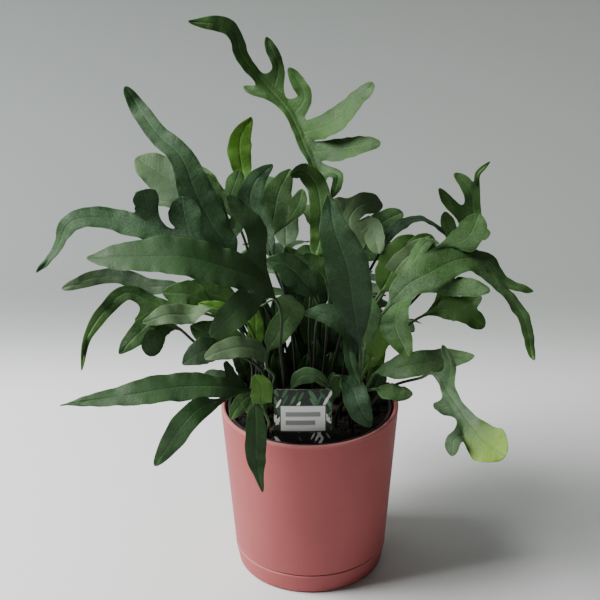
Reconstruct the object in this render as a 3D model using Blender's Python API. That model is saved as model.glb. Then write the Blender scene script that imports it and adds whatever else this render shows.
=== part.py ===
"""A blue star fern in a black nursery pot, set in a pink ceramic pot on its matching saucer.

Metres, +Z up. The origin is the centre of the saucer's underside, where the plant stands.
The fern's places are given in steps from the centre of the rim: a step is a centimetre on a
15.5 cm pot, so the plant keeps its proportions and its clearances when the pot is made wider.
"""

import math
from collections import namedtuple

import bmesh
import bpy
import numpy as np
from mathutils import Matrix

# Ceramic pot and saucer
POT_DIAMETER = 0.155
POT_HEIGHT = 0.156
POT_WALL = 0.004
POT_FLOOR = 0.006
POT_TAPER = 0.0103
SAUCER_HEIGHT = 0.0195
SAUCER_WALL = 0.005
SAUCER_FLOOR = 0.006
SAUCER_FOOT_TAPER = 0.0027
SAUCER_EDGE_RADIUS = 0.004
SHADOW_GAP = 0.0008
SPIGOT_CLEARANCE = 0.0006
SPIGOT_CHAMFER = 0.001
POT_EDGE_CHAMFER = 0.0006
DRAIN_DIAMETER = 0.018

# Nursery pot, soil, rhizomes and label
LINER_WALL = 0.0014
LINER_CLEARANCE = 0.0012
LINER_RIM_DROP = 0.002
LINER_BAND_HEIGHT = 0.008
LINER_BAND_WIDTH = 0.0012
LINER_TAPER = 0.014
LINER_HOLE_DIAMETER = 0.008
LINER_HOLES = 6
LINER_HOLE_RING = 0.62
SOIL_DROP = 0.009
RHIZOME_DIAMETER = 0.008
RHIZOME_END = 0.55
RHIZOME_SIDES = 10
LABEL_WIDTH = 0.049
LABEL_HEIGHT = 0.050
LABEL_THICKNESS = 0.001
LABEL_LEAN = 4.0
LABEL_CORNER_RADIUS = 0.003
LABEL_OFFSET = -0.6
LABEL_REACH = 6.46
STAKE_WIDTH = 0.012
STAKE_DEPTH = 0.030

# Fern: thicknesses in metres, then shares of a blade's size
STEM_DIAMETER = 0.0024
LEAF_THICKNESS = 0.0011
KEEL = 0.12
TIP_ROUNDING = 10
STALK_FADE = 0.25
SINUS_THICKNESS = 0.6
LOBE_THICKNESS = 0.8
LOBE_FLARE = 0.45
LOBE_BOW = 0.12
LOBE_LEAN = 0.5
LOBE_CROWDING = 1.4

# How finely the fern is meshed, its lengths in steps
CURVE_SAMPLES = 12
ROW_LENGTH = 0.95
LEAST_ROWS = 7
LOBE_ROWS = 4
STEM_ROW_LENGTH = 4.0
STEM_SOCKET = 0.6

TOUCH_GAP = 0.0003
SIDES = 48
HOLE_SIDES = 12
RIM_STEPS = 7.75

RIM_RADIUS = POT_DIAMETER / 2
STEP = RIM_RADIUS / RIM_STEPS
POT_FOOT_RADIUS = RIM_RADIUS - POT_TAPER
SOIL_TOP = POT_HEIGHT - SOIL_DROP
BESIDE_LABEL = LABEL_OFFSET - LABEL_WIDTH / 2 / STEP
PAST_LABEL = LABEL_OFFSET + LABEL_WIDTH / 2 / STEP
LABEL_FRONT = -math.sqrt(LABEL_REACH**2 - BESIDE_LABEL**2)
BEHIND_LABEL = LABEL_FRONT + 0.7

# Directions that a blade's upper side looks in
VIEWER = (0.0, -0.9, 0.43)
FRONT_UP = (0.0, -0.6, 0.8)
UP = (0.0, -0.1, 1.0)

# Relative widths at equal distances from a blade's foot to its tip
STRAP = (0.25, 0.8, 1.0, 1.0, 0.95, 0.85, 0.7)
LANCE = (0.2, 0.65, 0.95, 1.0, 0.9, 0.7, 0.4)
POINTED = (0.3, 0.75, 0.95, 1.0, 0.8, 0.5, 0.15)
OVAL = (0.3, 0.9, 1.0, 1.0, 0.95, 0.8, 0.6)
TAIL = (0.35, 0.9, 1.0, 0.8, 0.6, 0.6, 0.55)
DROOP = (0.4, 0.9, 1.0, 1.0, 0.85, 0.5, 0.3)
WINGED = (0.3, 0.6, 0.62, 0.7, 0.9, 1.0, 0.6)
SPOON = (0.2, 0.24, 0.3, 0.42, 0.75, 1.0, 0.8)
RIGHT = (0.3, 0.8, 1.0, 0.9, 0.6, 0.5, 0.3)
LOBE = (1.0, 0.95, 1.0, 1.0, 0.95, 0.8, 0.55)

COLOURS = {
    "green": (0.06, 0.16, 0.06, 1),
    "bright": (0.11, 0.28, 0.03, 1),
    "pale": (0.17, 0.27, 0.14, 1),
    "young": (0.18, 0.33, 0.09, 1),
    "ceramic": (0.50, 0.16, 0.14, 1),
    "plastic": (0.012, 0.012, 0.012, 1),
    "soil": (0.02, 0.014, 0.01, 1),
    "rhizome": (0.25, 0.13, 0.05, 1),
    "card": (0.7, 0.72, 0.68, 1),
}

Frond = namedtuple("Frond", "name base stalk blade width shape face leaf lobes")

# base is where the stalk leaves the ground (x, y), stalk and blade are the points that they pass
# through, and a lobe is (share of the blade at its foot, points to its tip, width).
FRONDS = (
    Frond("crown", (0.8, 1.2), ((2, 1.5, 9), (2, 2.5, 13.5)),
          ((1, 4, 19), (0, 5.5, 21), (-2, 8, 24.5), (-4, 9, 26.5), (-5.5, 9, 28.5), (-6.5, 9, 31),
           (-10, 8, 32)),
          1.5, WINGED, FRONT_UP, "green",
          ((0.04, ((2.5, 3, 20), (2, 3, 18)), 1),
           (0.11, ((3, 4, 22), (6, 3, 23)), 2.2),
           (0.22, ((2, 5, 24), (5.5, 5, 27.5)), 2.5),
           (0.3, ((-0.3, 8, 25), (-1.6, 9, 27.6)), 1.3),
           (0.5, ((-2.5, 9.5, 27), (-3.5, 10, 30)), 1.1),
           (0.5, ((-5.5, 9, 26),), 0.9))),
    Frond("high_left", (-2.2, 0.6), ((-3, 0.5, 7),),
          ((-6, 1, 13), (-8, 1.5, 16), (-9.5, 2, 19), (-10.5, 3, 21.5), (-13, 5, 23.5),
           (-14.5, 7, 25), (-15.5, 7.5, 26.5)),
          3, TAIL, FRONT_UP, "green", ()),
    Frond("back_pale", (-2.6, 2.4), ((-5.5, 4, 9),),
          ((-8.5, 6, 14.5), (-10.5, 7, 17), (-13, 8, 18.5), (-15, 9, 19.5)),
          3.8, OVAL, FRONT_UP, "green",
          ((0.45, ((-15, 7, 17),), 1),)),
    Frond("left_fingers", (-3.2, -0.4), ((-4.5, -1.5, 8.5), (-6.5, -2, 14)),
          ((-9, -2, 16), (-11.5, -2, 16.5), (-14.5, -1.5, 17.5), (-17, -1, 18), (-19.5, -1.5, 18),
           (-21, -2, 15.5), (-22.5, -3, 14)),
          2.1, DROOP, FRONT_UP, "green",
          ((0.06, ((-10.5, 0, 19.5),), 2.7),
           (0.3, ((-13.5, -2, 21),), 2.2))),
    Frond("front_dark", (-2, -3.2), ((-2.4, -6, 8),),
          ((-2.7, -7.5, 13.5), (-4.2, -8, 15.5), (-6.5, -9, 17), (-10, -10, 18.5), (-14, -10, 18.5),
           (-17.5, -9, 18)),
          3.6, LANCE, FRONT_UP, "green",
          ((0.14, ((-4.2, -7, 19), (-6.5, -6, 22)), 2.4),
           (0.1, ((-5.3, -11, 14.7), (-7.8, -12, 12.5)), 2.4))),
    Frond("front_centre", (2.2, -2.8), ((4, -5, 4.5),),
          ((4, -7.5, 9.5), (3.5, -8, 13), (3, -8, 16.5), (2, -7.5, 19.5), (1.5, -6, 22)),
          3.4, LANCE, VIEWER, "green",
          ((0.05, ((4, -10, 7),), 1),)),
    Frond("arching_strap", (0.4, 0.2), ((0, -0.5, 8),),
          ((0.5, 0, 13.5), (1, 1.5, 15.5), (1, 2, 17.5), (0.5, 3, 19.5), (-0.5, 3, 20.5),
           (-1.5, 2, 20.5)),
          1.9, STRAP, VIEWER, "green", ()),
    Frond("leaning", (-1, 1.2), ((-2, 2, 9),),
          ((-3.5, 4.5, 13.5), (-3, 5, 15.5), (-2.5, 6, 17.5), (-1.5, 6, 19.5)),
          2.6, LANCE, VIEWER, "green",
          ((0.35, ((-0.5, 5, 18),), 1.5),)),
    Frond("pale_arch", (-1.2, -0.3), ((-1.5, 0, 7),),
          ((-3, 1.5, 13.5), (-4, 3, 15.5), (-5, 4, 17.5), (-4.5, 4.5, 19), (-3, 4.5, 20.5)),
          2.3, LANCE, VIEWER, "green", ()),
    Frond("bright_back", (-1.6, 2.8), ((-3, 5, 7.5), (-5, 9, 13.5)),
          ((-5.5, 12, 15.5), (-6, 13, 17.5), (-6, 13.5, 19.5), (-5, 13.5, 21.5)),
          2.1, LANCE, VIEWER, "bright", ()),
    Frond("back_fingers", (-2.4, 3.4), ((-4.5, 6.5, 8),),
          ((-7, 10, 14), (-8, 10.5, 15), (-9, 11, 16.5), (-10, 12, 17.5)),
          1.7, STRAP, VIEWER, "green",
          ((0.2, ((-6, 11, 17.5),), 1.6),
           (0.5, ((-10, 11, 15.5),), 1.6))),
    Frond("right_of_centre", (1.6, 0.4), ((3, 0, 8),),
          ((4, 1.5, 12.5), (4, 3, 14), (3.5, 4.5, 15.5), (4.5, 5, 16.5), (6.5, 6, 16)),
          2.1, WINGED, VIEWER, "green",
          ((0.15, ((2.5, 4, 14),), 1.6),
           (0.55, ((2, 5, 17),), 1.7),
           (0.35, ((5, 4, 15), (6, 1.5, 13.5)), 1.9))),
    Frond("dark_upright", (2.8, 0), ((4, -0.5, 7.5),),
          ((6, 0, 10.5), (7, 1, 12), (8, 2, 13.5), (9, 3, 14.5)),
          3, LANCE, VIEWER, "green", ()),
    Frond("thin_arch", (2.4, 1.8), ((4, 2, 9),),
          ((6, 3.5, 12.5), (7, 4.5, 14), (8.5, 6, 14.5), (10, 6.5, 14.5), (12, 6.5, 13)),
          1.3, STRAP, UP, "green", ()),
    Frond("right_main", (3.4, -1.2), ((4, -2, 6),),
          ((6.5, -3, 10.5), (8, -2, 12), (10, -1.5, 13), (12.5, 0, 13.5), (15, 1, 13),
           (16.5, 0, 11.5), (19, 0, 10.5)),
          3, RIGHT, FRONT_UP, "green",
          ((0.06, ((7, -7, 10.5), (8, -9, 9)), 2.3),
           (0.26, ((10.5, 1.5, 15),), 1.2),
           (0.42, ((13.5, 1.5, 15), (14.5, 3, 16.5)), 2.6),
           (0.32, ((12, -2, 12), (15, -3, 12)), 1.9),
           (0.6, ((17.5, -2, 10), (18.5, -6, 7)), 1.3))),
    Frond("right_low_back", (4, 1.6), ((8, 3.5, 5),),
          ((11.3, 7, 5.3), (13, 7, 5.6), (14.4, 6.5, 5.1), (15.7, 6, 4.2)),
          2.4, OVAL, FRONT_UP, "green",
          ((0.2, ((13.1, 8, 8),), 1.9),
           (0.62, ((15.4, 7, 6.4),), 1.4))),
    Frond("right_twisted", (3.2, 2.6), ((7.5, 4.5, 5.5), (11.5, 8, 8.5)),
          ((13, 9, 10), (14.3, 9.3, 12), (14.7, 10, 14), (14.2, 10.5, 16), (13, 11, 17)),
          1.5, STRAP, VIEWER, "green",
          ((0.15, ((12.1, 9.5, 14),), 1.3),
           (0.5, ((11.6, 10, 16),), 1),
           (0.3, ((15.9, 8.5, 11.7),), 1.2),
           (0.7, ((15, 10.5, 17), (16.1, 10.5, 18.3)), 0.5))),
    Frond("right_low_dark", (4.5, -1.9), ((5, -4, 4),),
          ((5.5, -5, 5.5), (7.5, -6, 6.5), (10, -6, 7), (13.5, -7, 8)),
          2.4, LANCE, FRONT_UP, "green", ()),
    Frond("right_small", (3.6, -4), (),
          ((5.5, -6, 4.5), (6.5, -6.5, 4.5), (8.5, -7, 4.5)),
          1.6, LANCE, FRONT_UP, "green", ()),
    Frond("right_hanging", (4.9, -2.9), ((6.5, -5, 4), (9, -7, 6)),
          ((10.3, -10.2, 7.8), (11, -11, 6.9), (11.7, -12.5, 6.4), (12.6, -14, 5.6), (13.6, -15.5, 4.9),
           (15.1, -17, 4.4)),
          3.4, SPOON, VIEWER, "young",
          ((0.05, ((10.5, -10.5, 10.9),), 0.9),
           (0.28, ((9.7, -12.8, 6.5),), 1.6),
           (0.6, ((11.1, -16, 5.2), (11, -16.6, 4.2)), 1.3))),
    Frond("left_low_long", (-4, -3.4), ((BESIDE_LABEL - 0.95, -6.5, 4.5),),
          ((-5.5, -8, 5.5), (-7.5, -10, 7), (-10.5, -11, 7.5), (-13.5, -12, 7.5), (-17, -12, 7),
           (-20, -12, 6.5)),
          2.5, POINTED, FRONT_UP, "green",
          ((0.14, ((-9, -13, 6.5), (-12.5, -14, 2)), 1.9),
           (0.08, ((-7, -7.5, 8),), 1.9))),
    Frond("rim_hanging", (-4.4, -4.2), ((-4.5, -6.5, 3.5),),
          ((-4.5, -8, 4.5), (-4.5, -9, 2.5), (-4.5, -9.5, 0), (-4, -10, -3)),
          1.7, DROOP, VIEWER, "green", ()),
    Frond("small_bright", (BESIDE_LABEL - 0.55, -5.1), ((-3.5, -7.5, 2.5),),
          ((-4, -8.5, 4.5), (-4, -9, 6.5), (-4.5, -9, 7.5)),
          1.8, OVAL, VIEWER, "bright", ()),
    Frond("grey_arch", (-4.4, -2.2), ((-3, -4.5, 5),),
          ((-3.5, -6, 6.5), (-4, -7, 8.5), (-5.5, -8, 9.5), (-7, -8.5, 9.5), (-8.5, -9, 9)),
          2, STRAP, FRONT_UP, "pale", ()),
    Frond("behind_label", (-0.4, BEHIND_LABEL + 0.8), (),
          ((-1.5, BEHIND_LABEL, 4), (-1, BEHIND_LABEL, 5), (0.5, BEHIND_LABEL - 0.5, 5.5),
           (1.5, BEHIND_LABEL - 0.5, 4.5)),
          1.3, LANCE, VIEWER, "green", ()),
    Frond("front_lance", (PAST_LABEL - 0.25, -4.4), (),
          ((PAST_LABEL + 0.65, -5.5, 5.5), (3.5, -6, 4.5), (4, -7, 3.5), (5, -7, 1.5)),
          2.2, LANCE, VIEWER, "green", ()),
    Frond("left_pale_strap", (-4.8, 0.6), ((-5.5, -0.5, 8),),
          ((-10.5, -1.5, 12), (-13.5, -1.5, 12), (-16, -1.5, 13), (-18, -2, 13), (-20.5, -3, 12.5)),
          1.4, STRAP, VIEWER, "pale", ()),
    Frond("left_drooping", (-5, -1), ((-5, -3, 8),),
          ((-9, -4.5, 11), (-12, -4.5, 11.5), (-15, -5, 13), (-16.5, -7, 12.5), (-18, -8, 10.5),
           (-18.5, -9, 8)),
          1.4, DROOP, VIEWER, "green",
          ((0.25, ((-14, -7, 11),), 1.3),)),
    Frond("left_grey", (-4.3, -1.9), ((-5, -4.5, 8),),
          ((-8, -6, 12), (-10, -6, 11.5), (-11.5, -7, 12), (-13.5, -7.5, 11.5)),
          2, LANCE, FRONT_UP, "pale", ()),
    Frond("left_forked", (-5.4, -1.9), ((-5.5, -3.5, 6.5), (-8.5, -4.5, 7.5)),
          ((-11.5, -6.5, 11), (-12.5, -7, 11.5), (-14, -7.5, 10.5), (-15.5, -8, 9)),
          1.7, LANCE, VIEWER, "green",
          ((0.12, ((-12.5, -8, 10.5), (-13, -8.5, 9)), 2.1),)),
    Frond("left_dark", (-4.7, -2.7), ((-4, -4.5, 5.5),),
          ((-6.5, -6, 8), (-8.5, -6.5, 8.5), (-10.5, -7, 7.5)),
          2.3, LANCE, FRONT_UP, "green", ()),
    Frond("slate_arch", (0.2, -1.6), ((0.5, -2.5, 8),),
          ((0.5, -4, 12), (-0.5, -4, 13.5), (-2, -4, 15), (-3.5, -4, 15.5)),
          2.4, LANCE, VIEWER, "green", ()),
    Frond("middle_green", (1, -0.6), ((1.5, -1.5, 8.5),),
          ((1.5, -1.5, 12), (0.5, -1.5, 13.5), (-1, -1.5, 14), (-2, -1.5, 15.5)),
          2.2, LANCE, VIEWER, "green", ()),
    Frond("folded_pale", (-1.6, -2.2), (),
          ((-3.5, -4, 7), (-2.5, -4, 9), (-1.5, -4, 11), (-2.5, -5, 12.5), (-4, -5.5, 12)),
          2.1, STRAP, VIEWER, "green", ()),
    Frond("bright_upright", (-2.9, -1.4), (),
          ((-4.5, -3.5, 7), (-4.5, -3.5, 8.5), (-4.5, -3.5, 10), (-4.5, -3.5, 11)),
          1.4, LANCE, VIEWER, "bright", ()),
    Frond("low_arch", (2.6, -1.6), ((4.5, -3, 4.5),),
          ((4, -4, 7.5), (3, -5, 10), (1.5, -5, 11), (-0.5, -5, 11)),
          2.1, LANCE, FRONT_UP, "green", ()),
    Frond("right_inner", (3.4, -3), (),
          ((4.5, -6, 8), (4.5, -6, 10), (5, -6, 11.5), (5, -6, 13)),
          2.1, LANCE, VIEWER, "green", ()),
    Frond("small_centre", (0.6, -2.9), (),
          ((2, -4, 2.5), (2, -4, 3.5), (2, -4, 5)),
          1.2, OVAL, VIEWER, "green", ()),
    Frond("back_left_tall", (-3.4, 1.8), ((-6, 2.5, 7),),
          ((-7.5, 5, 11), (-8, 7, 13), (-8.5, 8, 15.5), (-9, 9, 18)),
          2.5, STRAP, VIEWER, "green",
          ((0.3, ((-6, 7.5, 15),), 1.5),
           (0.45, ((-10, 9, 16),), 1.7))),
    Frond("middle_tall", (-0.2, 2.2), ((-2, 4, 9),),
          ((-2, 6, 12), (-2, 7.5, 13.5), (-2.5, 8, 16), (-4, 9, 17.5)),
          2.4, STRAP, VIEWER, "pale", ()),
    Frond("right_back_tall", (2.2, 3.2), ((4, 4.5, 8.5),),
          ((4.5, 7, 10), (5.5, 8, 12), (7, 10, 13), (8.5, 10.5, 13.5)),
          2.4, STRAP, VIEWER, "green",
          ((0.3, ((8, 8, 10.5),), 1.8),)),
)

Arch = namedtuple("Arch", "name azimuth root reach height droop width leaf")

# The fronds at the back, each an arch of its own reach and height. The points that the arch passes
# through are shares of its reach, height and droop
ARCH_STALK = ((0.12, 0.6, 0),)
ARCH_BLADE = ((0.3, 0.95, 0), (0.55, 1, 0), (0.8, 1, 0.4), (1, 1, 1))
# Its lobes stand in turn on both sides, at these shares of the blade. Their tips lie in a row along
# the arch, and reach less far out to the side towards its end
ARCH_LOBES = (0.16, 0.3, 0.44, 0.58)
ARCH_LOBE_WIDTH = 0.75
ARCH_LOBE_HEIGHT = 0.97
ARCH_LOBE_FIRST = 0.36
ARCH_LOBE_SPREAD = 0.7
ARCH_LOBE_REACH = 4.4
ARCH_LOBE_FADE = 0.6
ARCHES = (
    Arch("back_low_1", 50, 5.6, 14.5, 4.5, 3.0, 2.4, "green"),
    Arch("back_low_2", 72, 5.6, 17.0, 5.0, 4.5, 2.6, "green"),
    Arch("back_low_3", 95, 5.2, 18.0, 7.0, 5.0, 2.5, "pale"),
    Arch("back_low_4", 120, 5.5, 17.0, 5.5, 4.5, 2.6, "green"),
    Arch("back_low_5", 146, 5.4, 15.5, 6.5, 4.0, 2.4, "green"),
    Arch("back_high_1", 68, 3.8, 14.0, 8.0, 1.5, 2.5, "pale"),
    Arch("back_high_2", 86, 4.0, 15.5, 14.0, 2.5, 2.6, "green"),
    Arch("back_high_3", 105, 3.9, 15.0, 10.5, 2.0, 2.5, "green"),
)

Rhizome = namedtuple("Rhizome", "name points")
RHIZOMES = (
    Rhizome("rhizome_left", ((-0.9, -0.1), (-2.4, 0.3), (-4.0, -0.3), (-5.4, 0.1))),
    Rhizome("rhizome_front", ((-0.4, -1.3), (-1.2, -2.5), (-2.2, -3.4), (-3.4, -4.2))),
    Rhizome("rhizome_right", ((1.0, 0.2), (2.4, -0.5), (3.8, -0.3), (5.3, -0.9))),
    Rhizome("rhizome_back", ((-0.2, 1.2), (-0.9, 2.4), (-0.5, 3.8), (-1.2, 5.2))),
)


def material(name, roughness=0.55):
    """A plain finish in one of the named colours."""
    made = bpy.data.materials.get(name)
    if made:
        return made
    made = bpy.data.materials.new(name)
    made.use_nodes = True
    shader = made.node_tree.nodes["Principled BSDF"]
    shader.inputs["Base Color"].default_value = COLOURS[name]
    shader.inputs["Roughness"].default_value = roughness
    return made


def add_object(name, mesh, finish):
    """Puts a mesh in the scene under its own name, smooth but for its sharp edges."""
    made = bpy.data.objects.new(name, mesh)
    bpy.context.scene.collection.objects.link(made)
    mesh.materials.append(material(finish))
    mesh.shade_smooth()
    mesh.set_sharp_from_angle(angle=math.radians(40))
    return made


def mesh_from(name, verts, faces):
    """A mesh with its faces pointing out."""
    mesh = bpy.data.meshes.new(name)
    mesh.from_pydata([tuple(v) for v in verts], [], faces)
    bm = bmesh.new()
    bm.from_mesh(mesh)
    bmesh.ops.recalc_face_normals(bm, faces=bm.faces)
    bm.to_mesh(mesh)
    bm.free()
    return mesh


def arc(centre, radius, start, stop, count=4):
    """Points of an arc in a turned profile, its angles in degrees."""
    angles = [math.radians(start + (stop - start) * k / count) for k in range(count + 1)]
    return [(centre[0] + radius * math.cos(a), centre[1] + radius * math.sin(a)) for a in angles]


def turned(name, profile, finish, closed):
    """A round piece, turned from (radius, height) points. An open profile starts and ends on the axis."""
    bm = bmesh.new()
    verts = [bm.verts.new((r, 0.0, z)) for r, z in profile]
    pairs = list(zip(verts, verts[1:] + verts[:1]))
    edges = [bm.edges.new(pair) for pair in (pairs if closed else pairs[:-1])]
    bmesh.ops.spin(bm, geom=verts + edges, cent=(0, 0, 0), axis=(0, 0, 1), angle=math.tau,
                   steps=SIDES, use_merge=True, use_duplicate=False)
    bmesh.ops.remove_doubles(bm, verts=bm.verts, dist=1e-6)
    bmesh.ops.recalc_face_normals(bm, faces=bm.faces)
    mesh = bpy.data.meshes.new(name)
    bm.to_mesh(mesh)
    bm.free()
    return add_object(name, mesh, finish)


def cut(target, cutter):
    """Cuts one object by another with an exact Boolean, and leaves the cutter out of the model."""
    cutter.hide_render = True
    cutter.display_type = "WIRE"
    modifier = target.modifiers.new(cutter.name, "BOOLEAN")
    modifier.operation = "DIFFERENCE"
    modifier.object = cutter


def pot_radius(z):
    """The ceramic pot's outer radius at a height: its wall runs straight on from the saucer's."""
    share = (z - SAUCER_HEIGHT) / (POT_HEIGHT - SAUCER_HEIGHT)
    return POT_FOOT_RADIUS + POT_TAPER * share


def liner_radius(z):
    """The nursery pot's outer radius at a height, below its rim band."""
    top = LINER_TOP - LINER_BAND_HEIGHT
    return LINER_TOP_RADIUS - LINER_BAND_WIDTH - LINER_TAPER * (top - z) / (top - LINER_FOOT)


POT_SEAT = SAUCER_FLOOR + TOUCH_GAP
LINER_FOOT = POT_SEAT + POT_FLOOR + TOUCH_GAP
LINER_TOP = POT_HEIGHT - LINER_RIM_DROP
LINER_TOP_RADIUS = pot_radius(LINER_TOP - LINER_BAND_HEIGHT) - POT_WALL - LINER_CLEARANCE
SOIL_FOOT = LINER_FOOT + LINER_WALL + TOUCH_GAP


def build_saucer():
    top = POT_FOOT_RADIUS
    foot = POT_FOOT_RADIUS - SAUCER_FOOT_TAPER
    edge = SAUCER_EDGE_RADIUS
    lip = SAUCER_WALL / 4
    profile = [(0, 0)]
    profile += arc((foot - edge, edge), edge, -90, 0)
    profile += arc((top - lip, SAUCER_HEIGHT - lip), lip, 0, 90, 2)
    profile += [(top - SAUCER_WALL, SAUCER_HEIGHT), (top - SAUCER_WALL, SAUCER_FLOOR), (0, SAUCER_FLOOR)]
    turned("saucer", profile, "ceramic", closed=False)


def build_outer_pot():
    spigot = POT_FOOT_RADIUS - SAUCER_WALL - SPIGOT_CLEARANCE
    step = SAUCER_HEIGHT + SHADOW_GAP
    floor = POT_SEAT + POT_FLOOR
    lip = POT_WALL / 2
    drain = DRAIN_DIAMETER / 2
    chamfer = SPIGOT_CHAMFER
    edge = POT_EDGE_CHAMFER
    profile = [(drain, POT_SEAT), (spigot - chamfer, POT_SEAT), (spigot, POT_SEAT + chamfer)]
    profile += [(spigot, step), (pot_radius(step) - edge, step), (pot_radius(step), step + edge)]
    profile += arc((RIM_RADIUS - lip, POT_HEIGHT - lip), lip, 0, 180, 6)
    profile += [(pot_radius(step + POT_WALL) - POT_WALL, step + POT_WALL)]
    profile += [(spigot - POT_WALL, floor), (drain, floor)]
    turned("outer_pot", profile, "ceramic", closed=True)


def build_nursery_pot():
    band = LINER_TOP - LINER_BAND_HEIGHT
    inner_top = LINER_TOP_RADIUS - LINER_BAND_WIDTH - LINER_WALL
    profile = [
        (0, LINER_FOOT),
        (liner_radius(LINER_FOOT), LINER_FOOT),
        (liner_radius(band), band),
        (LINER_TOP_RADIUS, band),
        (LINER_TOP_RADIUS, LINER_TOP),
        (inner_top, LINER_TOP),
        (inner_top, band),
        (liner_radius(LINER_FOOT) - LINER_WALL, LINER_FOOT + LINER_WALL),
        (0, LINER_FOOT + LINER_WALL),
    ]
    liner = turned("nursery_pot", profile, "plastic", closed=False)
    cut(liner, liner_holes())


def liner_holes():
    """The cutter for the drainage holes: short rods in a ring through the nursery pot's floor."""
    ring = liner_radius(LINER_FOOT) * LINER_HOLE_RING
    radius = LINER_HOLE_DIAMETER / 2
    bm = bmesh.new()
    for k in range(LINER_HOLES):
        angle = math.tau * k / LINER_HOLES
        place = Matrix.Translation((ring * math.cos(angle), ring * math.sin(angle), LINER_FOOT))
        bmesh.ops.create_cone(bm, cap_ends=True, segments=HOLE_SIDES, radius1=radius, radius2=radius,
                              depth=LINER_WALL * 4, matrix=place)
    mesh = bpy.data.meshes.new("liner_holes")
    bm.to_mesh(mesh)
    bm.free()
    return add_object("liner_holes", mesh, "plastic")


def build_potting_mix():
    slack = LINER_WALL + TOUCH_GAP
    foot = liner_radius(LINER_FOOT) - slack
    band = LINER_TOP - LINER_BAND_HEIGHT
    top = min(SOIL_TOP, band)
    profile = [(0, SOIL_FOOT), (foot, SOIL_FOOT), (liner_radius(top) - slack, top), (0, SOIL_TOP)]
    if SOIL_TOP > band:
        profile.insert(3, (liner_radius(band) - slack, SOIL_TOP))
    return turned("potting_mix", profile, "soil", closed=False)


def label_outline(grow):
    """The card with its pointed stake, grown outwards by grow, as (across, up) points from the soil line."""
    half = LABEL_WIDTH / 2 + grow
    stake = STAKE_WIDTH / 2 + grow
    top = LABEL_HEIGHT + grow
    corner = LABEL_CORNER_RADIUS
    points = [(0, -STAKE_DEPTH - grow), (stake, -STAKE_DEPTH + STAKE_WIDTH), (stake, 0), (half, 0)]
    points += arc((half - corner, top - corner), corner, 0, 90, 3)
    points += arc((corner - half, top - corner), corner, 90, 180, 3)
    points += [(-half, 0), (-stake, 0), (-stake, -STAKE_DEPTH + STAKE_WIDTH)]
    return points


def label_object(name, grow):
    half = LABEL_THICKNESS / 2 + grow
    outline = label_outline(grow)
    count = len(outline)
    verts = [(x, side * half, z) for side in (-1, 1) for x, z in outline]
    faces = [list(range(count)), list(range(count, 2 * count))[::-1]]
    faces += [(k, k + count, (k + 1) % count + count, (k + 1) % count) for k in range(count)]
    made = add_object(name, mesh_from(name, verts, faces), "card")
    made.rotation_euler = (math.radians(-LABEL_LEAN), 0, 0)
    made.location = (LABEL_OFFSET * STEP, LABEL_FRONT * STEP, SOIL_TOP + 2 * TOUCH_GAP)
    return made


def ground(x, y):
    """The height of the soil, or of the rhizome lying on it, under a stalk's foot."""
    height = SOIL_TOP
    radius = RHIZOME_DIAMETER / 2
    for rhizome in RHIZOMES:
        line = smooth_curve([(*p, 0) for p in rhizome.points], 8) * STEP
        near = np.hypot(line[:, 0] - x, line[:, 1] - y).min()
        near = max(near - STEM_DIAMETER / 2, 0.0)
        if near < radius + TOUCH_GAP:
            rise = math.sqrt(max(radius**2 - near**2, 0.0))
            height = max(height, SOIL_TOP + TOUCH_GAP + radius + rise)
    return height + TOUCH_GAP


def smooth_curve(points, samples):
    """Points along a smooth curve through the given ones, with samples points in each stretch."""
    p = np.array(points, float)
    gaps = np.linalg.norm(np.diff(p, axis=0), axis=1)
    slopes = np.diff(p, axis=0) / gaps[:, None]
    inner = slopes[:-1] * gaps[1:, None] + slopes[1:] * gaps[:-1, None]
    inner = inner / (gaps[:-1] + gaps[1:])[:, None]
    speed = np.vstack([slopes[:1], inner, slopes[-1:]])
    u = np.linspace(0, 1, samples, endpoint=False)[:, None]
    stretches = []
    for k, gap in enumerate(gaps):
        start = (2 * u**3 - 3 * u**2 + 1) * p[k] + (u**3 - 2 * u**2 + u) * gap * speed[k]
        end = (3 * u**2 - 2 * u**3) * p[k + 1] + (u**3 - u**2) * gap * speed[k + 1]
        stretches.append(start + end)
    return np.vstack(stretches + [p[-1:]])


def unit(v):
    return v / np.maximum(np.linalg.norm(v, axis=-1, keepdims=True), 1e-9)


class Ribbon:
    """A curve with a facing direction along it, carried from one place without twisting."""

    def __init__(self, line, facing, share):
        self.line = line
        gaps = np.linalg.norm(np.diff(line, axis=0), axis=1)
        self.along = np.concatenate([[0.0], np.cumsum(gaps)])
        self.length = self.along[-1]
        self.forward = unit(np.gradient(line, axis=0))
        self.up = np.zeros_like(line)
        middle = int(np.searchsorted(self.along, share * self.length))
        middle = min(max(middle, 0), len(line) - 1)
        turn = np.array(facing, float)
        for k in list(range(middle, len(line))) + list(range(middle - 1, -1, -1)):
            if k == middle - 1:
                turn = self.up[middle]
            forward = self.forward[k]
            turn = unit(turn - turn.dot(forward) * forward)
            self.up[k] = turn

    def read(self, values, distance):
        return np.array([np.interp(distance, self.along, values[:, k]) for k in range(3)])

    def at(self, distance):
        """The point, forward, up and right-hand directions at a distance along the curve."""
        forward = unit(self.read(self.forward, distance))
        up = unit(self.read(self.up, distance))
        return self.read(self.line, distance), forward, up, unit(np.cross(forward, up))


def width_at(shape, share):
    """A blade's relative width at a share of its length, rounded off at the tip."""
    body = np.interp(share, np.linspace(0, 1, len(shape)), shape)
    return body * math.sqrt(max(1.0 - share**TIP_ROUNDING, 0.0))


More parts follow.
